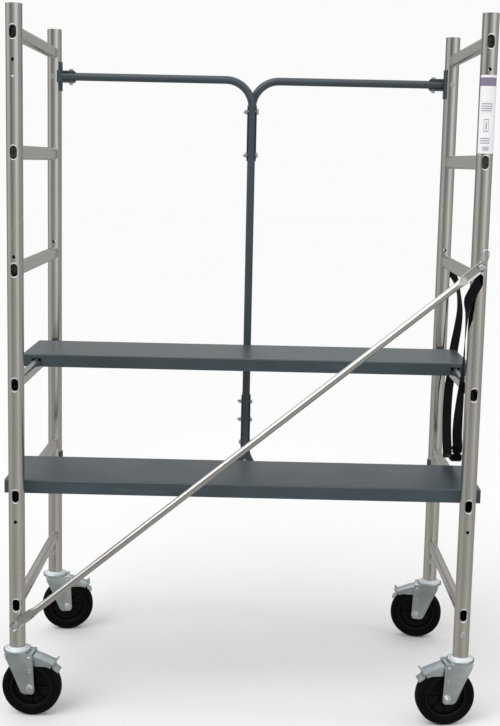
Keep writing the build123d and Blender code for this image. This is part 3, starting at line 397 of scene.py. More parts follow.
def all_materials():
    f = finish()
    zinc = tuple(f.zinc)
    sheet = tuple(c * k for c, k in zip(zinc, (0.78, 0.84, 0.84)))
    return {
        "galvanised_tube": drawn_tube("galvanised_tube", tuple(f.tube), f.tube_gloss),
        "brace_alloy": drawn_tube("brace_alloy", shade(tuple(f.tube), 0.88), 0.24),
        # Near-white rung beads: painted highlight round each rung end.
        "bead_painted_highlight": painted_highlight_metal("bead_painted_highlight", (0.95, 0.95, 0.95)),
        "plank_coat": powder_coat("plank_coat", tuple(f.deck), 0.30),
        "rail_coat": powder_coat("rail_coat", tuple(f.rail), 0.34),
        "zinc": zinc_plate("zinc", shade(zinc, 1.1), 0.25),
        # Pale collar: painted highlight on the stem collar, a lit copy of the zinc.
        "zinc_painted_highlight": painted_highlight_metal("zinc_painted_highlight", (0.80, 0.83, 0.86)),
        "wire": zinc_plate("wire", zinc, 0.22),
        "caster_sheet": zinc_plate("caster_sheet", sheet, 0.33),
        "tyre_rubber": rubber("tyre_rubber", tuple(f.rubber)),
        "hub_plastic": moulded("hub_plastic", shade(tuple(f.rubber), 1.3), 0.38),
        "webbing": woven("webbing", tuple(f.webbing)),
        "buckle_plastic": moulded("buckle_plastic", shade(tuple(f.rubber), 1.1), 0.26),
        "label_film": label_film(),
    }


def material(slot):
    return bpy.data.materials[slot]


# ---- mesh helpers ---------------------------------------------------------------------------
def outline(points):
    """A bmesh holding one face through points of a plane y = 0, given in mm as (x, z)."""
    bm = bmesh.new()
    bm.faces.new([bm.verts.new((x * MM, 0, z * MM)) for x, z in points])
    return bm


def plate(points, y0, y1, edge=0.6, corners=()):
    """A plate between two values of y in mm, its upright corners rounded, its edges broken."""
    bm = outline(points)
    for i, radius in corners:
        bm.verts.ensure_lookup_table()
        # The corner is found again by its place, because a bevel renumbers the rest.
        x, z = points[i]
        at = min(bm.verts, key=lambda v: (v.co - Vector((x * MM, 0, z * MM))).length)
        bmesh.ops.bevel(bm, geom=[at], offset=radius * MM, offset_type="OFFSET", segments=6,
                        profile=0.5, affect="VERTICES", material=-1)
    bmesh.ops.translate(bm, verts=bm.verts, vec=(0, y0 * MM, 0))
    grown = bmesh.ops.extrude_face_region(bm, geom=list(bm.faces))
    bmesh.ops.translate(bm, verts=only(grown, bmesh.types.BMVert), vec=(0, (y1 - y0) * MM, 0))
    bmesh.ops.recalc_face_normals(bm, faces=bm.faces)
    if edge:
        rims = [e for e in bm.edges if e.calc_face_angle(0) > 0.7]
        bmesh.ops.bevel(bm, geom=rims, offset=edge * MM, offset_type="OFFSET", segments=2,
                        profile=0.5, affect="EDGES", material=-1)
    return bm


def spun(profile, axis="Y", steps=72):
    """A closed ring turned from a profile of (along, radius) points in mm."""
    bm = bmesh.new()
    points = [(r * MM, a * MM, 0) if axis == "Y" else (r * MM, 0, a * MM) for a, r in profile]
    verts = [bm.verts.new(p) for p in points]
    edges = [bm.edges.new((verts[i - 1], verts[i])) for i in range(len(verts))]
    way = (0, 1, 0) if axis == "Y" else (0, 0, 1)
    bmesh.ops.spin(bm, geom=verts + edges, cent=(0, 0, 0), axis=way, angle=2 * math.pi, steps=steps,
                   use_merge=True)
    bmesh.ops.remove_doubles(bm, verts=bm.verts, dist=1e-6)
    bmesh.ops.recalc_face_normals(bm, faces=bm.faces)
    return bm


def moved(bm, matrix):
    bmesh.ops.transform(bm, matrix=matrix, verts=bm.verts)
    return bm


def joined(*parts):
    """One bmesh of several, each freed afterwards."""
    whole = bmesh.new()
    for part in parts:
        held = bpy.data.meshes.new("held")
        part.to_mesh(held)
        part.free()
        whole.from_mesh(held)
        bpy.data.meshes.remove(held)
    return whole


def only(grown, kind):
    """The verts or the edges that an extrusion made."""
    return [g for g in grown["geom"] if isinstance(g, kind)]


def piece(name, bm, slot, body, replaces=(), smooth=35):
    mesh = bpy.data.meshes.new(name)
    bm.to_mesh(mesh)
    bm.free()
    obj = bpy.data.objects.new(name, mesh)
    bpy.context.scene.collection.objects.link(obj)
    mesh.materials.append(material(slot))
    mesh.shade_smooth()
    if smooth < 180:
        mesh.set_sharp_from_angle(angle=math.radians(smooth))
    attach(obj, body)
    if replaces:
        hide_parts(*replaces)
    return obj


# ---- casters ---------------------------------------------------------------------------------
def tyre_mesh(half):
    """Solid tyre: crowned tread, rounded shoulders and two moulded rings on each side."""
    h = half / MM
    r = WHEEL_R / MM
    side = [(0, r), (h - 8, r - 0.3), (h - 4, r - 1.6), (h - 1.4, r - 4.4), (h - 0.2, r - 8),
            (h, r - 10.5), (h - 1.3, r - 11.2), (h - 1.3, r - 12.2), (h - 0.3, r - 12.9),
            (h - 0.5, r - 17), (h - 1.9, r - 17.7), (h - 1.9, r - 18.6), (h - 1.2, r - 19.2),
            (h - 2.2, r - 20.9), (0, r - 20.9)]
    profile = side + [(-a, b) for a, b in reversed(side[1:-1])]
    return spun(profile, steps=96)


def hub_mesh(half):
    """Hub: stepped rim, dished web, ring of stiffeners and a long boss."""
    h = half / MM
    r = WHEEL_R / MM - 21
    side = [(0, r), (h - 2.6, r), (h - 2.2, r - 0.8), (h - 2.2, r - 4.5), (h - 3.6, r - 6.2),
            (h - 9, r - 8), (h - 13, r - 9.4), (h - 13, 33), (h - 10, 32.4), (h - 9.6, 31.2),
            (h - 9.6, 29.6), (h - 10, 28.4), (h - 13, 27.8), (h - 13, 18), (h - 10, 15.6),
            (h + 5.4, 14.6), (h + 6, 14), (h + 6, 5.2), (0, 5.2)]
    profile = side[:-1] + [(-a, b) for a, b in reversed(side[:-1])][:-1]
    parts = [spun(profile, steps=96)]
    for i in range(8):
        for way in (-1, 1):
            outer = r - 8
            rib = plate([(14, -1.1), (outer, -1.1), (outer, 1.1), (14, 1.1)], way * 4, way * (h - 6), 0.4)
            parts.append(moved(rib, Matrix.Rotation(2 * math.pi * i / 8, 4, "Y")))
    return joined(*parts)


def hex_head(flats, high, crown=0.8):
    """Hexagon with its outer corners turned off, standing on z = 0 and pointing up."""
    bm = bmesh.new()
    bmesh.ops.create_cone(bm, cap_ends=True, segments=6, radius1=flats / math.sqrt(3) * MM,
                          radius2=flats / math.sqrt(3) * MM, depth=high * MM)
    bmesh.ops.translate(bm, verts=bm.verts, vec=(0, 0, high * MM / 2))
    top = [e for e in bm.edges if all(v.co.z > high * MM * 0.9 for v in e.verts)]
    bmesh.ops.bevel(bm, geom=top, offset=crown * MM, offset_type="OFFSET", segments=3, profile=0.6,
                    affect="EDGES", material=-1)
    return bm


def turned(profile, steps=40):
    """A turned piece on the Z axis from (height, radius) points in mm, closed at both ends."""
    return spun([(a, max(r, 0.01)) for a, r in profile], "Z", steps)


def fork_mesh(sheet):
    """Pressed fork: two tapered cheeks with rolled edges, a top plate and the race's dish."""
    t = sheet / MM
    top = FORK_TOP
    low = WHEEL_R / MM - 14.5
    trail = TRAIL / MM
    cheek = [(-28, top - 1.5), (-25.5, top), (42.5, top), (44, top - 2), (44.3, top - 34),
             (trail + 11.5, low), (trail - 21, low)]
    parts = []
    for way in (-1, 1):
        inner, outer = sorted((way * CHEEK_IN, way * (CHEEK_IN + t)))
        parts.append(plate(cheek, inner, outer, 0.9, ((5, 9), (6, 9))))
        # The pressed rim stands proud of the cheek along both its sloping edges.
        rim_in, rim_out = (26.7, 28.2) if way > 0 else (-27.7, -27.2)
        for a, b in (((-25.2, top - 9), (trail - 20.4, low + 9)),
                     ((43.2, top - 8), (trail + 10.6, low + 9))):
            across = Vector((b[1] - a[1], a[0] - b[0])).normalized() * 1.3
            strip = [(a[0] - across.x, a[1] - across.y), (b[0] - across.x, b[1] - across.y),
                     (b[0] + across.x, b[1] + across.y), (a[0] + across.x, a[1] + across.y)]
            parts.append(plate(strip, rim_in, rim_out, 0.4))
        spin = Matrix.Rotation(math.radians(-90 * way), 4, "X")
        for up in (42, 48):
            stud = turned([(0, 0), (0, 3.4), (0.6, 3.2), (1.2, 2.2), (1.4, 0)], 24)
            at = Matrix.Translation((TRAIL - MM, way * 27.4 * MM, WHEEL_R + up * MM))
            parts.append(moved(stud, at @ spin))
    parts.append(plate([(-27, top - t), (43.5, top - t), (43.5, top), (-27, top)], -26, 26, 0.8))
    dish = [(-1, 14), (-1, 30), (-0.5, 34.4), (1, 35), (5.6, 35), (6.8, 34.2), (7, 33.4), (6.6, 32.9),
            (4.4, 32.4), (4.0, 31), (4.0, 14)]
    parts.append(spun([(top + up, radius) for up, radius in dish], "Z", 72))
    return joined(*parts)


def stem_mesh():
    """Flange, collar and visible foot of the stem, which stays still under the stile."""
    top = FORK_TOP
    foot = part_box("right_front_stile")[0][2] / MM
    flange = [(5.3, 6), (5.3, 31.0), (5.8, 31.6), (7.4, 31.6), (8.2, 30.8), (9.0, 25.0)]
    neck = [(4.4, 22.2), (3.6, 21.8), (0.7, 21.5), (0.05, 20.9), (0.05, 6)]
    profile = [(top + up, r) for up, r in flange] + [(foot - down, r) for down, r in neck]
    return spun(profile, "Z", 72)


def over_tread(height, degrees):
    turn = math.radians(degrees)
    radius = WHEEL_R / MM + height
    return (TRAIL / MM + radius * math.cos(turn), WHEEL_R / MM + radius * math.sin(turn))


def pedal_mesh():
    """Brake pedal: channel with a curved top, raised toe lip, release tab and tread ribs."""
    w = PEDAL_HALF
    x, z = PIVOT_X, PIVOT_Z / MM
    tip = over_tread(12.0, 47.3)
    root, knee = (x - 6, z + 4), (x + 8, z + 4)
    slope = Vector((tip[0] - knee[0], tip[1] - knee[1])).normalized()
    down = Vector((slope.y, -slope.x))
    arch = [(knee[0] + slope.x * d + down.x * s, knee[1] + slope.y * d + down.y * s)
            for d, s in ((6, -0.6), (20, -1.2), (36, -0.8))]
    under = [(px + down.x * 2, pz + down.y * 2) for px, pz in reversed([knee, *arch, tip])]
    parts = [plate([root, knee, *arch, tip, *under, (root[0], root[1] - 2)], -w, w, 0.7)]
    parts.append(plate([over_tread(9.0, 48.6), over_tread(9.4, 45.9), over_tread(15.5, 45.8),
                        over_tread(22.0, 46.6), over_tread(21.6, 48.2), over_tread(14.5, 48.4)],
                       -w + 0.5, w - 0.5, 0.7))
    parts.append(plate([over_tread(8.0, 49.6), over_tread(10.0, 48.0), over_tread(4.4, 40.9),
                        over_tread(9.0, 31.0), over_tread(6.8, 30.4), over_tread(1.7, 41.1)],
                       -w + 3, w - 3, 0.5))
    side = [(x - 6, z + 3), (x + 8, z + 3), over_tread(9.7, 49.6), over_tread(0.6, 45.3),
            over_tread(-5.0, 56.1), (x + 7, z - 22), (x - 6, z - 7)]
    for a, b in ((-w, 2 - w), (w - 2, w)):
        parts.append(plate(side, a, b, 0.6))
    for i in range(5):
        at = Vector(knee) + slope * (24 + 5.2 * i) - down * (0.9 - 0.16 * i)
        rib = [at + slope * along - down * high
               for along, high in ((-1.1, 0), (1.1, 0), (0.8, 1.3), (-0.8, 1.3))]
        parts.append(plate(rib, -15, 15, 0.35))
    shoe = [over_tread(0.5, 77), over_tread(0.5, 72), over_tread(0.5, 67), over_tread(4.5, 67.5),
            over_tread(5.6, 72), over_tread(4.5, 77)]
    parts.append(plate(shoe, -13, 13, 0.5))
    return joined(*parts)


def axle_mesh():
    """Axle bolt head and nut with their washers, and the pedal pin's two rolled ends."""
    parts = []
    for way in (-1, 1):
        spin = Matrix.Rotation(math.radians(-90 * way), 4, "X")
        face = Matrix.Translation((TRAIL, way * CHEEK_OUT * MM, WHEEL_R)) @ spin
        washer = turned([(0, 5), (0, 10), (0.3, 10.4), (1.0, 10.4), (1.3, 10), (1.3, 5)])
        head = moved(hex_head(14.5, 5.4 if way < 0 else 6.8), Matrix.Translation((0, 0, 1.2 * MM)))
        parts += [moved(washer, face), moved(head, face)]
        if way > 0:
            end = turned([(7, 0), (7, 4.9), (9.3, 4.9), (10.0, 4.2), (10.0, 0)])
            parts.append(moved(end, face))
        pin_face = Matrix.Translation((PIN_X, way * CHEEK_OUT * MM, PIVOT_Z)) @ spin
        parts.append(moved(turned([(0, 0), (0, 4.2), (0.9, 4.1), (1.7, 3.0), (1.9, 0)], 24), pin_face))
    half = CHEEK_OUT + 0.5
    lying = Matrix.Rotation(math.pi / 2, 4, "X")
    for place, radius, steps in (((TRAIL, 0, WHEEL_R), 5, 40), ((PIN_X, 0, PIVOT_Z), 3, 24)):
        shank = turned([(-half, 0), (-half, radius), (half, radius), (half, 0)], steps)
        parts.append(moved(shank, Matrix.Translation(place) @ lying))
    return joined(*parts)


class SCAFFOLD_OT_wheels(bpy.types.Operator):
    """Solid tyres and moulded hubs"""
    bl_idname = "scaffold.wheels"
    bl_label = "Wheels"

    def execute(self, context):
        half = sizes().tyre_half
        for corner in CORNERS:
            place = caster_place(corner) @ Matrix.Translation((TRAIL, 0, WHEEL_R))
            piece(f"{corner}_tyre_rubber", moved(tyre_mesh(half), place), "tyre_rubber",
                  f"{corner}_wheel", (f"{corner}_tyre",))
            piece(f"{corner}_hub_moulding", moved(hub_mesh(half), place), "hub_plastic",
                  f"{corner}_wheel", (f"{corner}_hub",), 30)
        return {"FINISHED"}


class SCAFFOLD_OT_forks(bpy.types.Operator):
    """Pressed forks with their axle bolts, and the flanges they turn under"""
    bl_idname = "scaffold.forks"
    bl_label = "Forks"

    def execute(self, context):
        for corner in CORNERS:
            place = caster_place(corner)
            piece(f"{corner}_fork_pressing", moved(fork_mesh(sizes().sheet), place), "caster_sheet",
                  f"{corner}_caster", (f"{corner}_fork",))
            piece(f"{corner}_axle_bolt", moved(axle_mesh(), place), "zinc",
                  f"{corner}_caster", (f"{corner}_axle",))
            # The collar's pale finish is a painted highlight.
            piece(f"{corner}_stem_collar", moved(stem_mesh(), place), "zinc_painted_highlight", "scaffold")
        return {"FINISHED"}


class SCAFFOLD_OT_pedals(bpy.types.Operator):
    """Brake pedals"""
    bl_idname = "scaffold.pedals"
    bl_label = "Brake pedals"

    def execute(self, context):
        for corner in CORNERS:
            piece(f"{corner}_brake_pedal", moved(pedal_mesh(), caster_place(corner)), "caster_sheet",
                  f"{corner}_brake", (f"{corner}_pedal",))
        return {"FINISHED"}


# ---- rung ends and brace -------------------------------------------------------------------------
def ringed(count, levels, place):
    """A skin grown ring by ring; place(angle, level) gives the point of a vertex."""
    bm = bmesh.new()
    bmesh.ops.create_circle(bm, cap_ends=False, segments=count, radius=1.0)
    angles = {v: math.atan2(v.co.y, v.co.x) for v in bm.verts}
    edges = list(bm.edges)
    for i, level in enumerate(levels):
        if i:
            before = list(angles)
            grown = bmesh.ops.extrude_edge_only(bm, edges=edges)
            edges = only(grown, bmesh.types.BMEdge)
            fresh = only(grown, bmesh.types.BMVert)
            angles = {v: angles[min(before, key=lambda o: (o.co - v.co).length)] for v in fresh}
        for vert, angle in angles.items():
            vert.co = place(angle, level)
    return bm


def flare_mesh(wide, tall):
    """Rolled bead round a rung's end, bent to the stile it bears on. Its own Y is outwards."""
    bore_wide = wide - BEAD * MM
    straight = (tall - wide) / 2
    # Inner edge deep in the bore, over the bead's crown, and down to the stile's face.
    rings = [(0.0, -3.0), (0.0, 0.2), (0.18, 1.0), (0.5, 1.45), (0.82, 1.15), (1.0, 0.3), (1.0, -0.4)]

    def place(angle, ring):
        out, high = ring
        half = (bore_wide + (wide - 0.4 * MM - bore_wide) * out) / 2
        x = half * math.cos(angle)
        z = half * math.sin(angle) + math.copysign(straight, math.sin(angle))
        lean = x / STILE_R
        return (x, (STILE_R + high * MM) * math.sqrt(max(0.0, 1 - lean * lean)), z)

    bm = ringed(48, rings, place)
    bmesh.ops.recalc_face_normals(bm, faces=bm.faces)
    return bm


class SCAFFOLD_OT_rung_ends(bpy.types.Operator):
    """Rolled beads where the rungs come out through the stiles"""
    bl_idname = "scaffold.rung_ends"
    bl_label = "Rung ends"

    def execute(self, context):
        for side in ("left", "right"):
            low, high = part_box(f"{side}_rungs")
            wide, x = high[0] - low[0], (low[0] + high[0]) / 2
            tall = wide + 13 * MM
            first, last = low[2] + tall / 2, high[2] - tall / 2
            beads = []
            for i in range(6):
                z = first + (last - first) * i / 5
                for node, turn in ((f"{side}_back_stile", 0.0), (f"{side}_front_stile", math.pi)):
                    place = Matrix.Translation((x, middle(node).y, z)) @ Matrix.Rotation(turn, 4, "Z")
                    beads.append(moved(flare_mesh(wide, tall), place))
            # The beads' near-white finish is a painted highlight.
            piece(f"{side}_rung_beads", joined(*beads), "bead_painted_highlight", "scaffold", smooth=60)
        dome = turned([(-1.0, 0), (-1.0, 3.2), (0.0, 3.2), (0.7, 2.6), (1.1, 1.4), (1.2, 0)], 24)
        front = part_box("left_front_stile")[0][1]
        at = (middle("left_front_stile").x, front, STILE_TOP - 170 * MM)
        face = Matrix.Translation(at) @ Matrix.Rotation(math.pi / 2, 4, "X")
        piece("left_front_stile_rivet", moved(dome, face), "zinc", "scaffold")
        return {"FINISHED"}


def brace_section(angle, press, radius):
    """Point of the brace's outline: round at press 0, a trough open to the front at press 1."""
    c, s = math.cos(angle), math.sin(angle)
    round_at = Vector((radius * c, radius + radius * s))
    wide = 12 * MM
    x = wide * math.copysign(abs(c) ** 0.45, c)
    rim = max(0.0, (abs(x) / wide - 0.62) / 0.38)
    rise = math.sin(min(1.0, rim * 1.25) * math.pi / 2) * (1 - 0.55 * max(0, rim - 0.8) / 0.2)
    crown = 3 * MM + 5 * MM * rise
    y = crown if s > 0 else 0.2 * MM + 1.6 * MM * max(0.0, rim - 0.5)
    blend = press * press * (3 - 2 * press)
    return round_at.lerp(Vector((x, y)), blend)


class SCAFFOLD_OT_brace(bpy.types.Operator):
    """Diagonal brace: drawn tube pressed to an open trough at both ends"""
    bl_idname = "scaffold.brace"
    bl_label = "Brace"

    def execute(self, context):
        low_hole = Vector((middle("left_front_stile").x, 0, middle("caster_bolts").z))
        high_hole = Vector((STILE.x, 0, joint("brace_pin_pull")["pos_m"][2]))
        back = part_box("right_front_stile")[0][1] - 2 * MM
        ahead = (high_hole - low_hole).normalized()
        length = (high_hole - low_hole).length
        across = Vector((-ahead.z, 0, ahead.x))
        radius = 9 * MM
        stations = [(-13, 1), (-12.4, 1), (-10, 1), (0, 1), (24, 1), (40, 1), (46, 0.92), (52, 0.72),
                    (58, 0.45), (64, 0.2), (70, 0.05), (74, 0)]
        stations = [(a * MM, p) for a, p in stations]
        stations += [(length - a, p) for a, p in reversed(stations)]

        def place(angle, station):
            along, press = station
            end = min(abs(along + 13 * MM), abs(length + 13 * MM - along))
            tip = min(1.0, 0.72 + 0.28 * math.sqrt(min(1.0, end / (7 * MM))))
            point = brace_section(angle, press, radius)
            at = low_hole + ahead * along + across * point.x * tip
            return (at.x, back - point.y, at.z)

        bm = ringed(56, stations, place)
        for rim in (stations[0][0], stations[-1][0]):
            loop = [e for e in bm.edges if e.is_boundary
                    and abs((e.verts[0].co - low_hole).dot(ahead) - rim) < MM]
            bmesh.ops.contextual_create(bm, geom=loop)
        bmesh.ops.recalc_face_normals(bm, faces=bm.faces)
        piece("diagonal_brace_tube", bm, "brace_alloy", "scaffold", ("diagonal_brace",), 50)
        return {"FINISHED"}


# ---- strap and buckle ---------------------------------------------------------------------------
def smooth_route(stations, steps=8):
    """Catmull-Rom through stations of (centre, across), both as vectors."""
    made = []
    last = len(stations) - 1
    for i in range(last):
        four = [stations[min(max(k, 0), last)] for k in (i - 1, i, i + 1, i + 2)]
        for j in range(steps + (i == last - 1)):
            t = j / steps
            weights = (-t / 2 + t * t - t ** 3 / 2, 1 - 2.5 * t * t + 1.5 * t ** 3,
                       t / 2 + 2 * t * t - 1.5 * t ** 3, (t ** 3 - t * t) / 2)
            centre = sum((w * s[0] for w, s in zip(weights, four)), Vector())
            across = sum((w * s[1] for w, s in zip(weights, four)), Vector()).normalized()
            made.append((centre, across))
    return made


def ribbon(stations, width, thick):
    """Webbing through stations, with UVs in metres along and across it."""
    route = smooth_route(stations)
    bm = bmesh.new()
    uv = bm.loops.layers.uv.new("UVMap")
    columns = 4
    row, gone, rows = None, 0.0, []
    for i, (centre, across) in enumerate(route):
        ahead = route[min(i + 1, len(route) - 1)][0] - route[max(i - 1, 0)][0]
        across = (across - ahead * (across.dot(ahead) / ahead.length_squared)).normalized()
        if rows:
            gone += (centre - route[i - 1][0]).length
        places = [centre + across * width * (k / columns - 0.5) for k in range(columns + 1)]
        if row is None:
            row = [bm.verts.new(p) for p in places]
            edges = [bm.edges.new(row[k:k + 2]) for k in range(columns)]
        else:
            grown = bmesh.ops.extrude_edge_only(bm, edges=edges)
            edges = only(grown, bmesh.types.BMEdge)
            fresh = only(grown, bmesh.types.BMVert)
            before = rows[-1][1]
            fresh = [min(fresh, key=lambda v: (v.co - p).length) for p in before]
            for vert, place in zip(fresh, places):
                vert.co = place
        rows.append((gone, places))
    for face in bm.faces:
        for loop in face.loops:
            along = min(rows, key=lambda r: min((p - loop.vert.co).length for p in r[1]))
            k = min(range(columns + 1), key=lambda n: (along[1][n] - loop.vert.co).length)
            loop[uv].uv = (along[0], width * k / columns)
    bmesh.ops.solidify(bm, geom=list(bm.faces), thickness=thick)
    return bm


def strap_stations():
    """The strap's two strands and its run inside the fourth rung of the right frame.
    Each station is a centre, in mm from the rung's middle and the stile's face, and the
    way its width lies."""
    x = STILE.x
    z = joint("brace_pin_pull")["pos_m"][2] - 32 * MM
    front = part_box("right_front_stile")[0][1]
    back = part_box("right_back_stile")[1][1]

    def at(dx, y, dz, across):
        return (Vector((x + dx * MM, y, z + dz * MM)), Vector(across).normalized())

    def f(dx, dy, dz, across):
        return at(dx, front + dy * MM, dz, across)

    def b(dx, dy, dz, across):
        return at(dx, back + dy * MM, dz, across)

    front_strand = [
        f(1, 4, -2, (0.25, 0, -1)), f(-1, -2.6, -3, (0.6, 0, -0.8)), f(-6, -4.0, -10, (0.87, 0, -0.5)),
        f(-18, -4.2, -33, (0.85, -0.1, -0.5)), f(-27, -2.6, -55, (0.6, -0.72, -0.35)),
        f(-27, 7, -84, (0.12, -1, -0.05)), f(-25, 24, -112, (-0.05, -1, 0)),
        f(-22, 48, -150, (-0.15, -1, 0)), f(-19, 70, -196, (-0.28, -0.96, 0)),
        f(-17.5, 92, -250, (-0.5, -0.87, 0)), f(-17, 112, -310, (-0.8, -0.6, 0)),
        f(-15, 140, -366, (-0.95, -0.3, 0)),
        f(-10, 172, -412, (-1, 0, 0)), f(-4, 200, -446, (-1, 0, 0)), f(-2, 214, -470, (-1, 0, 0)),
    ]
    rear_strand = [
        f(0, 222, -489, (1, 0, 0)), f(1, 240, -500, (1, 0, 0)), f(1, 262, -502, (1, 0, 0)),
        f(0, 300, -502.5, (1, 0, 0)), f(-1, 330, -503.5, (1, 0, 0)), f(-2, 348, -512, (1, 0, 0)),
        f(-3, 366, -517, (1, 0, 0)), f(-2, 390, -492, (1, 0, 0)), f(2, 440, -450, (1, 0.1, 0)),
        f(10, 500, -408, (1, 0.1, 0)), f(20, 556, -364, (1, 0.1, 0)), f(28, 586, -330, (1, 0.1, 0)),
        b(32, -58, -292, (1, 0.05, 0)), b(36, -56, -246, (1, 0.1, 0)), b(45, -48, -190, (0.9, 0.4, 0)),
        b(51, -32, -140, (0.7, 0.7, 0.05)), b(48, -14, -92, (0.5, 0.85, 0.1)),
        b(37, -3, -52, (0.6, 0.65, 0.4)), b(20, 3.6, -28, (0.85, 0.12, 0.5)),
        b(6, 3.6, -8, (0.8, 0, 0.6)), b(0, 3, -2, (0.5, 0, 0.85)),
        b(-1, -4, -2.7, (0.1, 0, 1)),
    ]
    inside = [f(0, 2, -2.7, (0, 0, 1)), at(0, 0, -2.7, (0, 0, 1)), b(0, -2, -2.7, (0, 0, 1))]
    return front_strand, inside, rear_strand


class SCAFFOLD_OT_strap(bpy.types.Operator):
    """Webbing strap through the fourth rung, sewn back on itself at the buckle"""
    bl_idname = "scaffold.strap"
    bl_label = "Strap"

    def execute(self, context):
        s = sizes()
        front_strand, inside, rear_strand = strap_stations()
        parts = [ribbon(run, s.strap_width, s.strap_thick) for run in (front_strand, inside, rear_strand)]
        sewn = [(c + Vector((0, -1.2 * MM, -1.0 * MM)), a) for c, a in front_strand[-4:]]
        parts.append(ribbon(sewn, s.strap_width * 0.98, s.strap_thick))
        piece("webbing_strap", joined(*parts), "webbing", "scaffold", ("strap",), 60)
        return {"FINISHED"}


def buckle_matrix():
    low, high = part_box("buckle_socket")
    top_low, top_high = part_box("buckle_tongue")
    foot = Vector(((low[0] + high[0]) / 2, high[1], low[2]))
    head = Vector(((low[0] + high[0]) / 2, top_low[1], top_high[2]))
    up = (head - foot).normalized()
    centre = (foot + head) / 2
    out = Vector((1, 0, 0)).cross(up)
    return Matrix.Translation(centre) @ Matrix((Vector((1, 0, 0)), out, up)).transposed().to_4x4()


def frame_plate(points, slot, y0, y1):
    """A plate with a slot, built as four bars round the slot."""
    (x0, x1), (z0, z1) = slot
    left = min(p[0] for p in points)
    right = max(p[0] for p in points)
    low = min(p[1] for p in points)
    high = max(p[1] for p in points)
    bars = [[(left, low), (right, low), (right, z0), (left, z0)],
            [(left, z1), (right, z1), (right, high), (left, high)],
            [(left, z0), (x0, z0), (x0, z1), (left, z1)],
            [(x1, z0), (right, z0), (right, z1), (x1, z1)]]
    return joined(*[plate(bar, y0, y1, 0.5) for bar in bars])


class SCAFFOLD_OT_buckle(bpy.types.Operator):
    """Side-release buckle: slotted ends, curved waist and two spring prongs"""
    bl_idname = "scaffold.buckle"
    bl_label = "Buckle"

    def execute(self, context):
        place = buckle_matrix()
        socket = [frame_plate([(-17, -22), (17, -12)], ((-13, 13), (-18.6, -15.2)), -3.6, 3.2),
                  plate([(-17.5, -13), (17.5, -13), (16, -10), (9.5, -6.5), (7, -1), (7.4, 6), (-7.4, 6),
                         (-7, -1), (-9.5, -6.5), (-16, -10)], -3.6, 3.4, 1.1),
                  plate([(-6, -8), (6, -8), (5, 3), (-5, 3)], 3.0, 3.9, 0.4)]
        tongue = [frame_plate([(-17, 14), (17, 22)], ((-13, 13), (15.6, 18.6)), -2.6, 2.4),
                  plate([(-6.4, 6.6), (6.4, 6.6), (8, 9.6), (16.8, 14.4), (-16.8, 14.4), (-8, 9.6)],
                        -2.4, 2.2, 0.8)]
        for way in (-1, 1):
            prong = [(way * 7.4, 8.2), (way * 9.4, 6.5), (way * 9.6, 0), (way * 8.0, -5),
                     (way * 7.2, -5), (way * 8.0, 0), (way * 7.6, 5)]
            tongue.append(plate(prong, -2.0, 1.8, 0.3))
        piece("buckle_socket_moulding", moved(joined(*socket), place), "buckle_plastic", "scaffold",
              ("buckle_socket",))
        piece("buckle_tongue_moulding", moved(joined(*tongue), place), "buckle_plastic", "scaffold",
              ("buckle_tongue",))
        return {"FINISHED"}


class SCAFFOLD_OT_bow(bpy.types.Operator):
    """Wire bow of the clip pin that holds the brace"""
    bl_idname = "scaffold.bow"
    bl_label = "Clip pin's bow"

    def execute(self, context):
        turn = joint("brace_pin_bow_turn")
        hinge = Vector(turn["pos_m"])
        across = Vector(turn["axis"]).normalized()
        up = across.cross(Vector((0, 1, 0)))
        route = [(-1.4, 0), (-8, 0), (-9.6, 4), (-9, 16), (-8.6, 30), (-6.8, 40), (0, 45), (6.8, 40),
                 (8.6, 30), (9, 16), (9.6, 4), (8, 0), (1.4, 0)]
        curve = bpy.data.curves.new("clip_bow_wire", "CURVE")
        curve.dimensions = "3D"
        curve.bevel_depth = sizes().bow_wire
        curve.bevel_resolution = 4
        curve.use_fill_caps = True
        line = curve.splines.new("NURBS")
        line.points.add(len(route) - 1)
        for point, (a, b) in zip(line.points, route):
            point.co = (*(hinge + across * a * MM + up * b * MM), 1)
        line.order_u = 3
        line.use_endpoint_u = True
        obj = bpy.data.objects.new("clip_bow_wire", curve)
        bpy.context.scene.collection.objects.link(obj)
        curve.materials.append(material("wire"))
        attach(obj, "brace_pin_bow")
        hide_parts("clip_bow")
        return {"FINISHED"}


# ---- finishes on the frame, stage ----------------------------------------------------------------
class SCAFFOLD_OT_finishes(bpy.types.Operator):
    """Procedural finishes on every part of the frame"""
    bl_idname = "scaffold.finishes"
    bl_label = "Finishes"

    def execute(self, context):
        for plain in list(bpy.data.materials):
            plain.name = "plain_" + plain.name  # leaves the slots' names to the finishes
        made = all_materials()
        for part in frame["record"]["subparts"]:
            obj = frame["nodes"][part["node"]]
            obj.data.materials.clear()
            obj.data.materials.append(made[part["material_slot"]])
        return {"FINISHED"}


def area(name, place, aim, width, power, colour=(1, 1, 1)):
    light = bpy.data.lights.new(name, "AREA")
    light.shape = "RECTANGLE"
    light.size, light.size_y = width
    light.energy = power
    light.color = colour
    obj = bpy.data.objects.new(name, light)
    obj.matrix_world = Matrix.Translation(place) @ (
        Vector(aim) - Vector(place)).to_track_quat("-Z", "Y").to_matrix().to_4x4()
    obj.visible_glossy = False  # the tubes mirror the world's soft bands, not the lamp's edges
    bpy.context.scene.collection.objects.link(obj)
    return obj


# Brightness round the horizon, from -X by way of the front, +X and the back to -X again.
MIRRORED = ((0.0, 0.58), (0.06, 0.60), (0.10, 0.40), (0.135, 0.19), (0.20, 0.20), (0.24, 0.38),
            (0.29, 0.50), (0.33, 0.82), (0.40, 0.86), (0.44, 0.56), (0.48, 0.26), (0.51, 0.50),
            (0.55, 0.40), (0.62, 0.20), (0.75, 0.42), (0.86, 0.22), (0.94, 0.30), (0.97, 0.66))


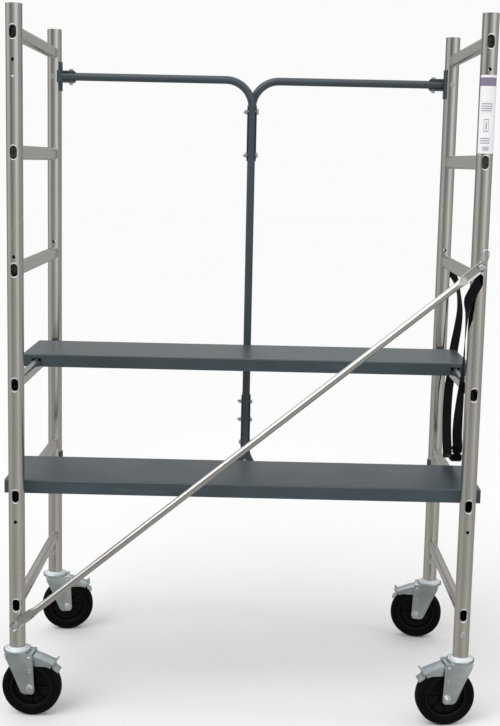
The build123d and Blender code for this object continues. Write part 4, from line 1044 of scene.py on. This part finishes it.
class SCAFFOLD_OT_stage(bpy.types.Operator):
    """Pale floor, soft studio light and the camera"""
    bl_idname = "scaffold.stage"
    bl_label = "Stage"

    def execute(self, context):
        self.floor()
        self.world()
        sun = bpy.data.lights.new("window_light", "SUN")
        sun.energy = 1.1
        sun.angle = math.radians(50)
        lamp = bpy.data.objects.new("window_light", sun)
        lamp.matrix_world = Vector((2.0, 2.4, -3.4)).to_track_quat("-Z", "Y").to_matrix().to_4x4()
        bpy.context.scene.collection.objects.link(lamp)
        area("key_light", (-2.2, -3.4, 2.6), (0, 0, 0.9), (0.9, 2.4), 16)
        area("rim_light", (3.4, -0.6, 2.0), (0, 0, 0.9), (0.4, 2.4), 12)
        self.camera()
        bpy.context.scene.view_settings.view_transform = "Standard"
        return {"FINISHED"}

    def floor(self):
        bm = bmesh.new()
        bmesh.ops.create_grid(bm, x_segments=1, y_segments=1, size=30)
        bmesh.ops.translate(bm, verts=bm.verts, vec=(0, 0, -0.0006))
        mesh = bpy.data.meshes.new("studio_floor")
        bm.to_mesh(mesh)
        bm.free()
        shader = Shader("floor_paint", Roughness=0.7)
        tone = shader.noise(0.6, 2.0)
        shader.put("Base Color", shader.mix(tone, (0.92, 0.92, 0.92), (0.94, 0.94, 0.94)))
        mesh.materials.append(shader.material)
        obj = bpy.data.objects.new("studio_floor", mesh)
        obj.visible_glossy = False  # the metal mirrors the grey bands below the horizon too
        bpy.context.scene.collection.objects.link(obj)

    def world(self):
        """Even white for the eye and for soft light; upright grey bands for the tubes to mirror."""
        world = bpy.data.worlds.new("studio")
        bpy.context.scene.world = world
        world.use_nodes = True
        tree = world.node_tree

        def node(kind, values=None, stops=(), **settings):
            return add_node(tree, kind, settings, values, stops)

        def even(tone):
            return node("ShaderNodeBackground", {"Color": (tone, tone, tone, 1)})

        def rise(value, start, end, most=1.0):
            values = {"Value": value, "From Min": start, "From Max": end, "To Max": most}
            return node("ShaderNodeMapRange", values, interpolation_type="SMOOTHSTEP").outputs[0]

        def mix(factor, first, colour):
            values = {"Factor": factor, 6: first, 7: colour}
            return node("ShaderNodeMix", values, data_type="RGBA").outputs[2]

        way = node("ShaderNodeTexCoord").outputs["Generated"]
        x, y, z = node("ShaderNodeSeparateXYZ", {0: way}).outputs
        turn = node("ShaderNodeMath", {0: y, 1: x}, operation="ARCTAN2").outputs[0]
        share = node("ShaderNodeMapRange", {"Value": turn, "From Min": -math.pi, "From Max": math.pi})
        stops = [(place, (tone, tone * 0.985, tone * 0.95)) for place, tone in MIRRORED]
        bands = node("ShaderNodeValToRGB", {"Fac": share.outputs[0]}, stops).outputs["Color"]
        grounded = mix(rise(z, 0.15, -0.30, 0.78), bands, (0.40, 0.385, 0.355, 1))
        lit = mix(rise(z, 0.16, 0.70), grounded, (1.25, 1.25, 1.27, 1))
        shine = node("ShaderNodeBackground", {"Color": lit})
        path = node("ShaderNodeLightPath").outputs
        last = even(0.78)
        for kind, other in (("Is Glossy Ray", shine), ("Is Camera Ray", even(0.96))):
            values = {"Fac": path[kind], 1: last.outputs[0], 2: other.outputs[0]}
            last = node("ShaderNodeMixShader", values)
        tree.links.new(last.outputs[0], tree.nodes["World Output"].inputs["Surface"])

    def camera(self):
        yaw, pitch, roll = -0.0053, 0.1530, 0.0216
        level = math.cos(pitch)
        ahead = Vector((math.sin(yaw) * level, math.cos(yaw) * level, -math.sin(pitch)))
        right = Vector((math.cos(yaw), -math.sin(yaw), 0))
        above = right.cross(ahead)
        across = right * math.cos(roll) + above * math.sin(roll)
        up = above * math.cos(roll) - right * math.sin(roll)
        data = bpy.data.cameras.new("camera")
        data.lens = 64.7
        data.clip_end = 60
        obj = bpy.data.objects.new("camera", data)
        axes = Matrix((across, up, -ahead)).transposed().to_4x4()
        obj.matrix_world = Matrix.Translation((0.0293, -3.4561, 1.3999)) @ axes
        bpy.context.scene.collection.objects.link(obj)
        bpy.context.scene.camera = obj


class SCAFFOLD_PT_panel(bpy.types.Panel):
    """Lists the steps in order"""
    bl_idname = "SCAFFOLD_PT_panel"
    bl_label = "Rolling scaffold"
    bl_space_type = "VIEW_3D"
    bl_region_type = "UI"
    bl_category = "Scaffold"

    def draw(self, context):
        for group in (context.scene.scaffold_finish, context.scene.scaffold_sizes):
            box = self.layout.box()
            for name in group.__annotations__:
                box.prop(group, name)
        for step in STEPS:
            self.layout.operator(step.bl_idname)


STEPS = (SCAFFOLD_OT_stage, SCAFFOLD_OT_finishes, SCAFFOLD_OT_rung_ends, SCAFFOLD_OT_brace,
         SCAFFOLD_OT_wheels, SCAFFOLD_OT_forks, SCAFFOLD_OT_pedals, SCAFFOLD_OT_strap,
         SCAFFOLD_OT_buckle, SCAFFOLD_OT_bow)
CLASSES = (ScaffoldFinish, ScaffoldSizes, *STEPS, SCAFFOLD_PT_panel)


def register():
    for cls in CLASSES:
        bpy.utils.register_class(cls)
    bpy.types.Scene.scaffold_finish = bpy.props.PointerProperty(type=ScaffoldFinish)
    bpy.types.Scene.scaffold_sizes = bpy.props.PointerProperty(type=ScaffoldSizes)


def unregister():
    del bpy.types.Scene.scaffold_sizes
    del bpy.types.Scene.scaffold_finish
    for cls in reversed(CLASSES):
        bpy.utils.unregister_class(cls)


def main():
    register()
    for step in STEPS:
        group, name = step.bl_idname.split(".")
        getattr(getattr(bpy.ops, group), name)()


if __name__ == "__main__":
    main()
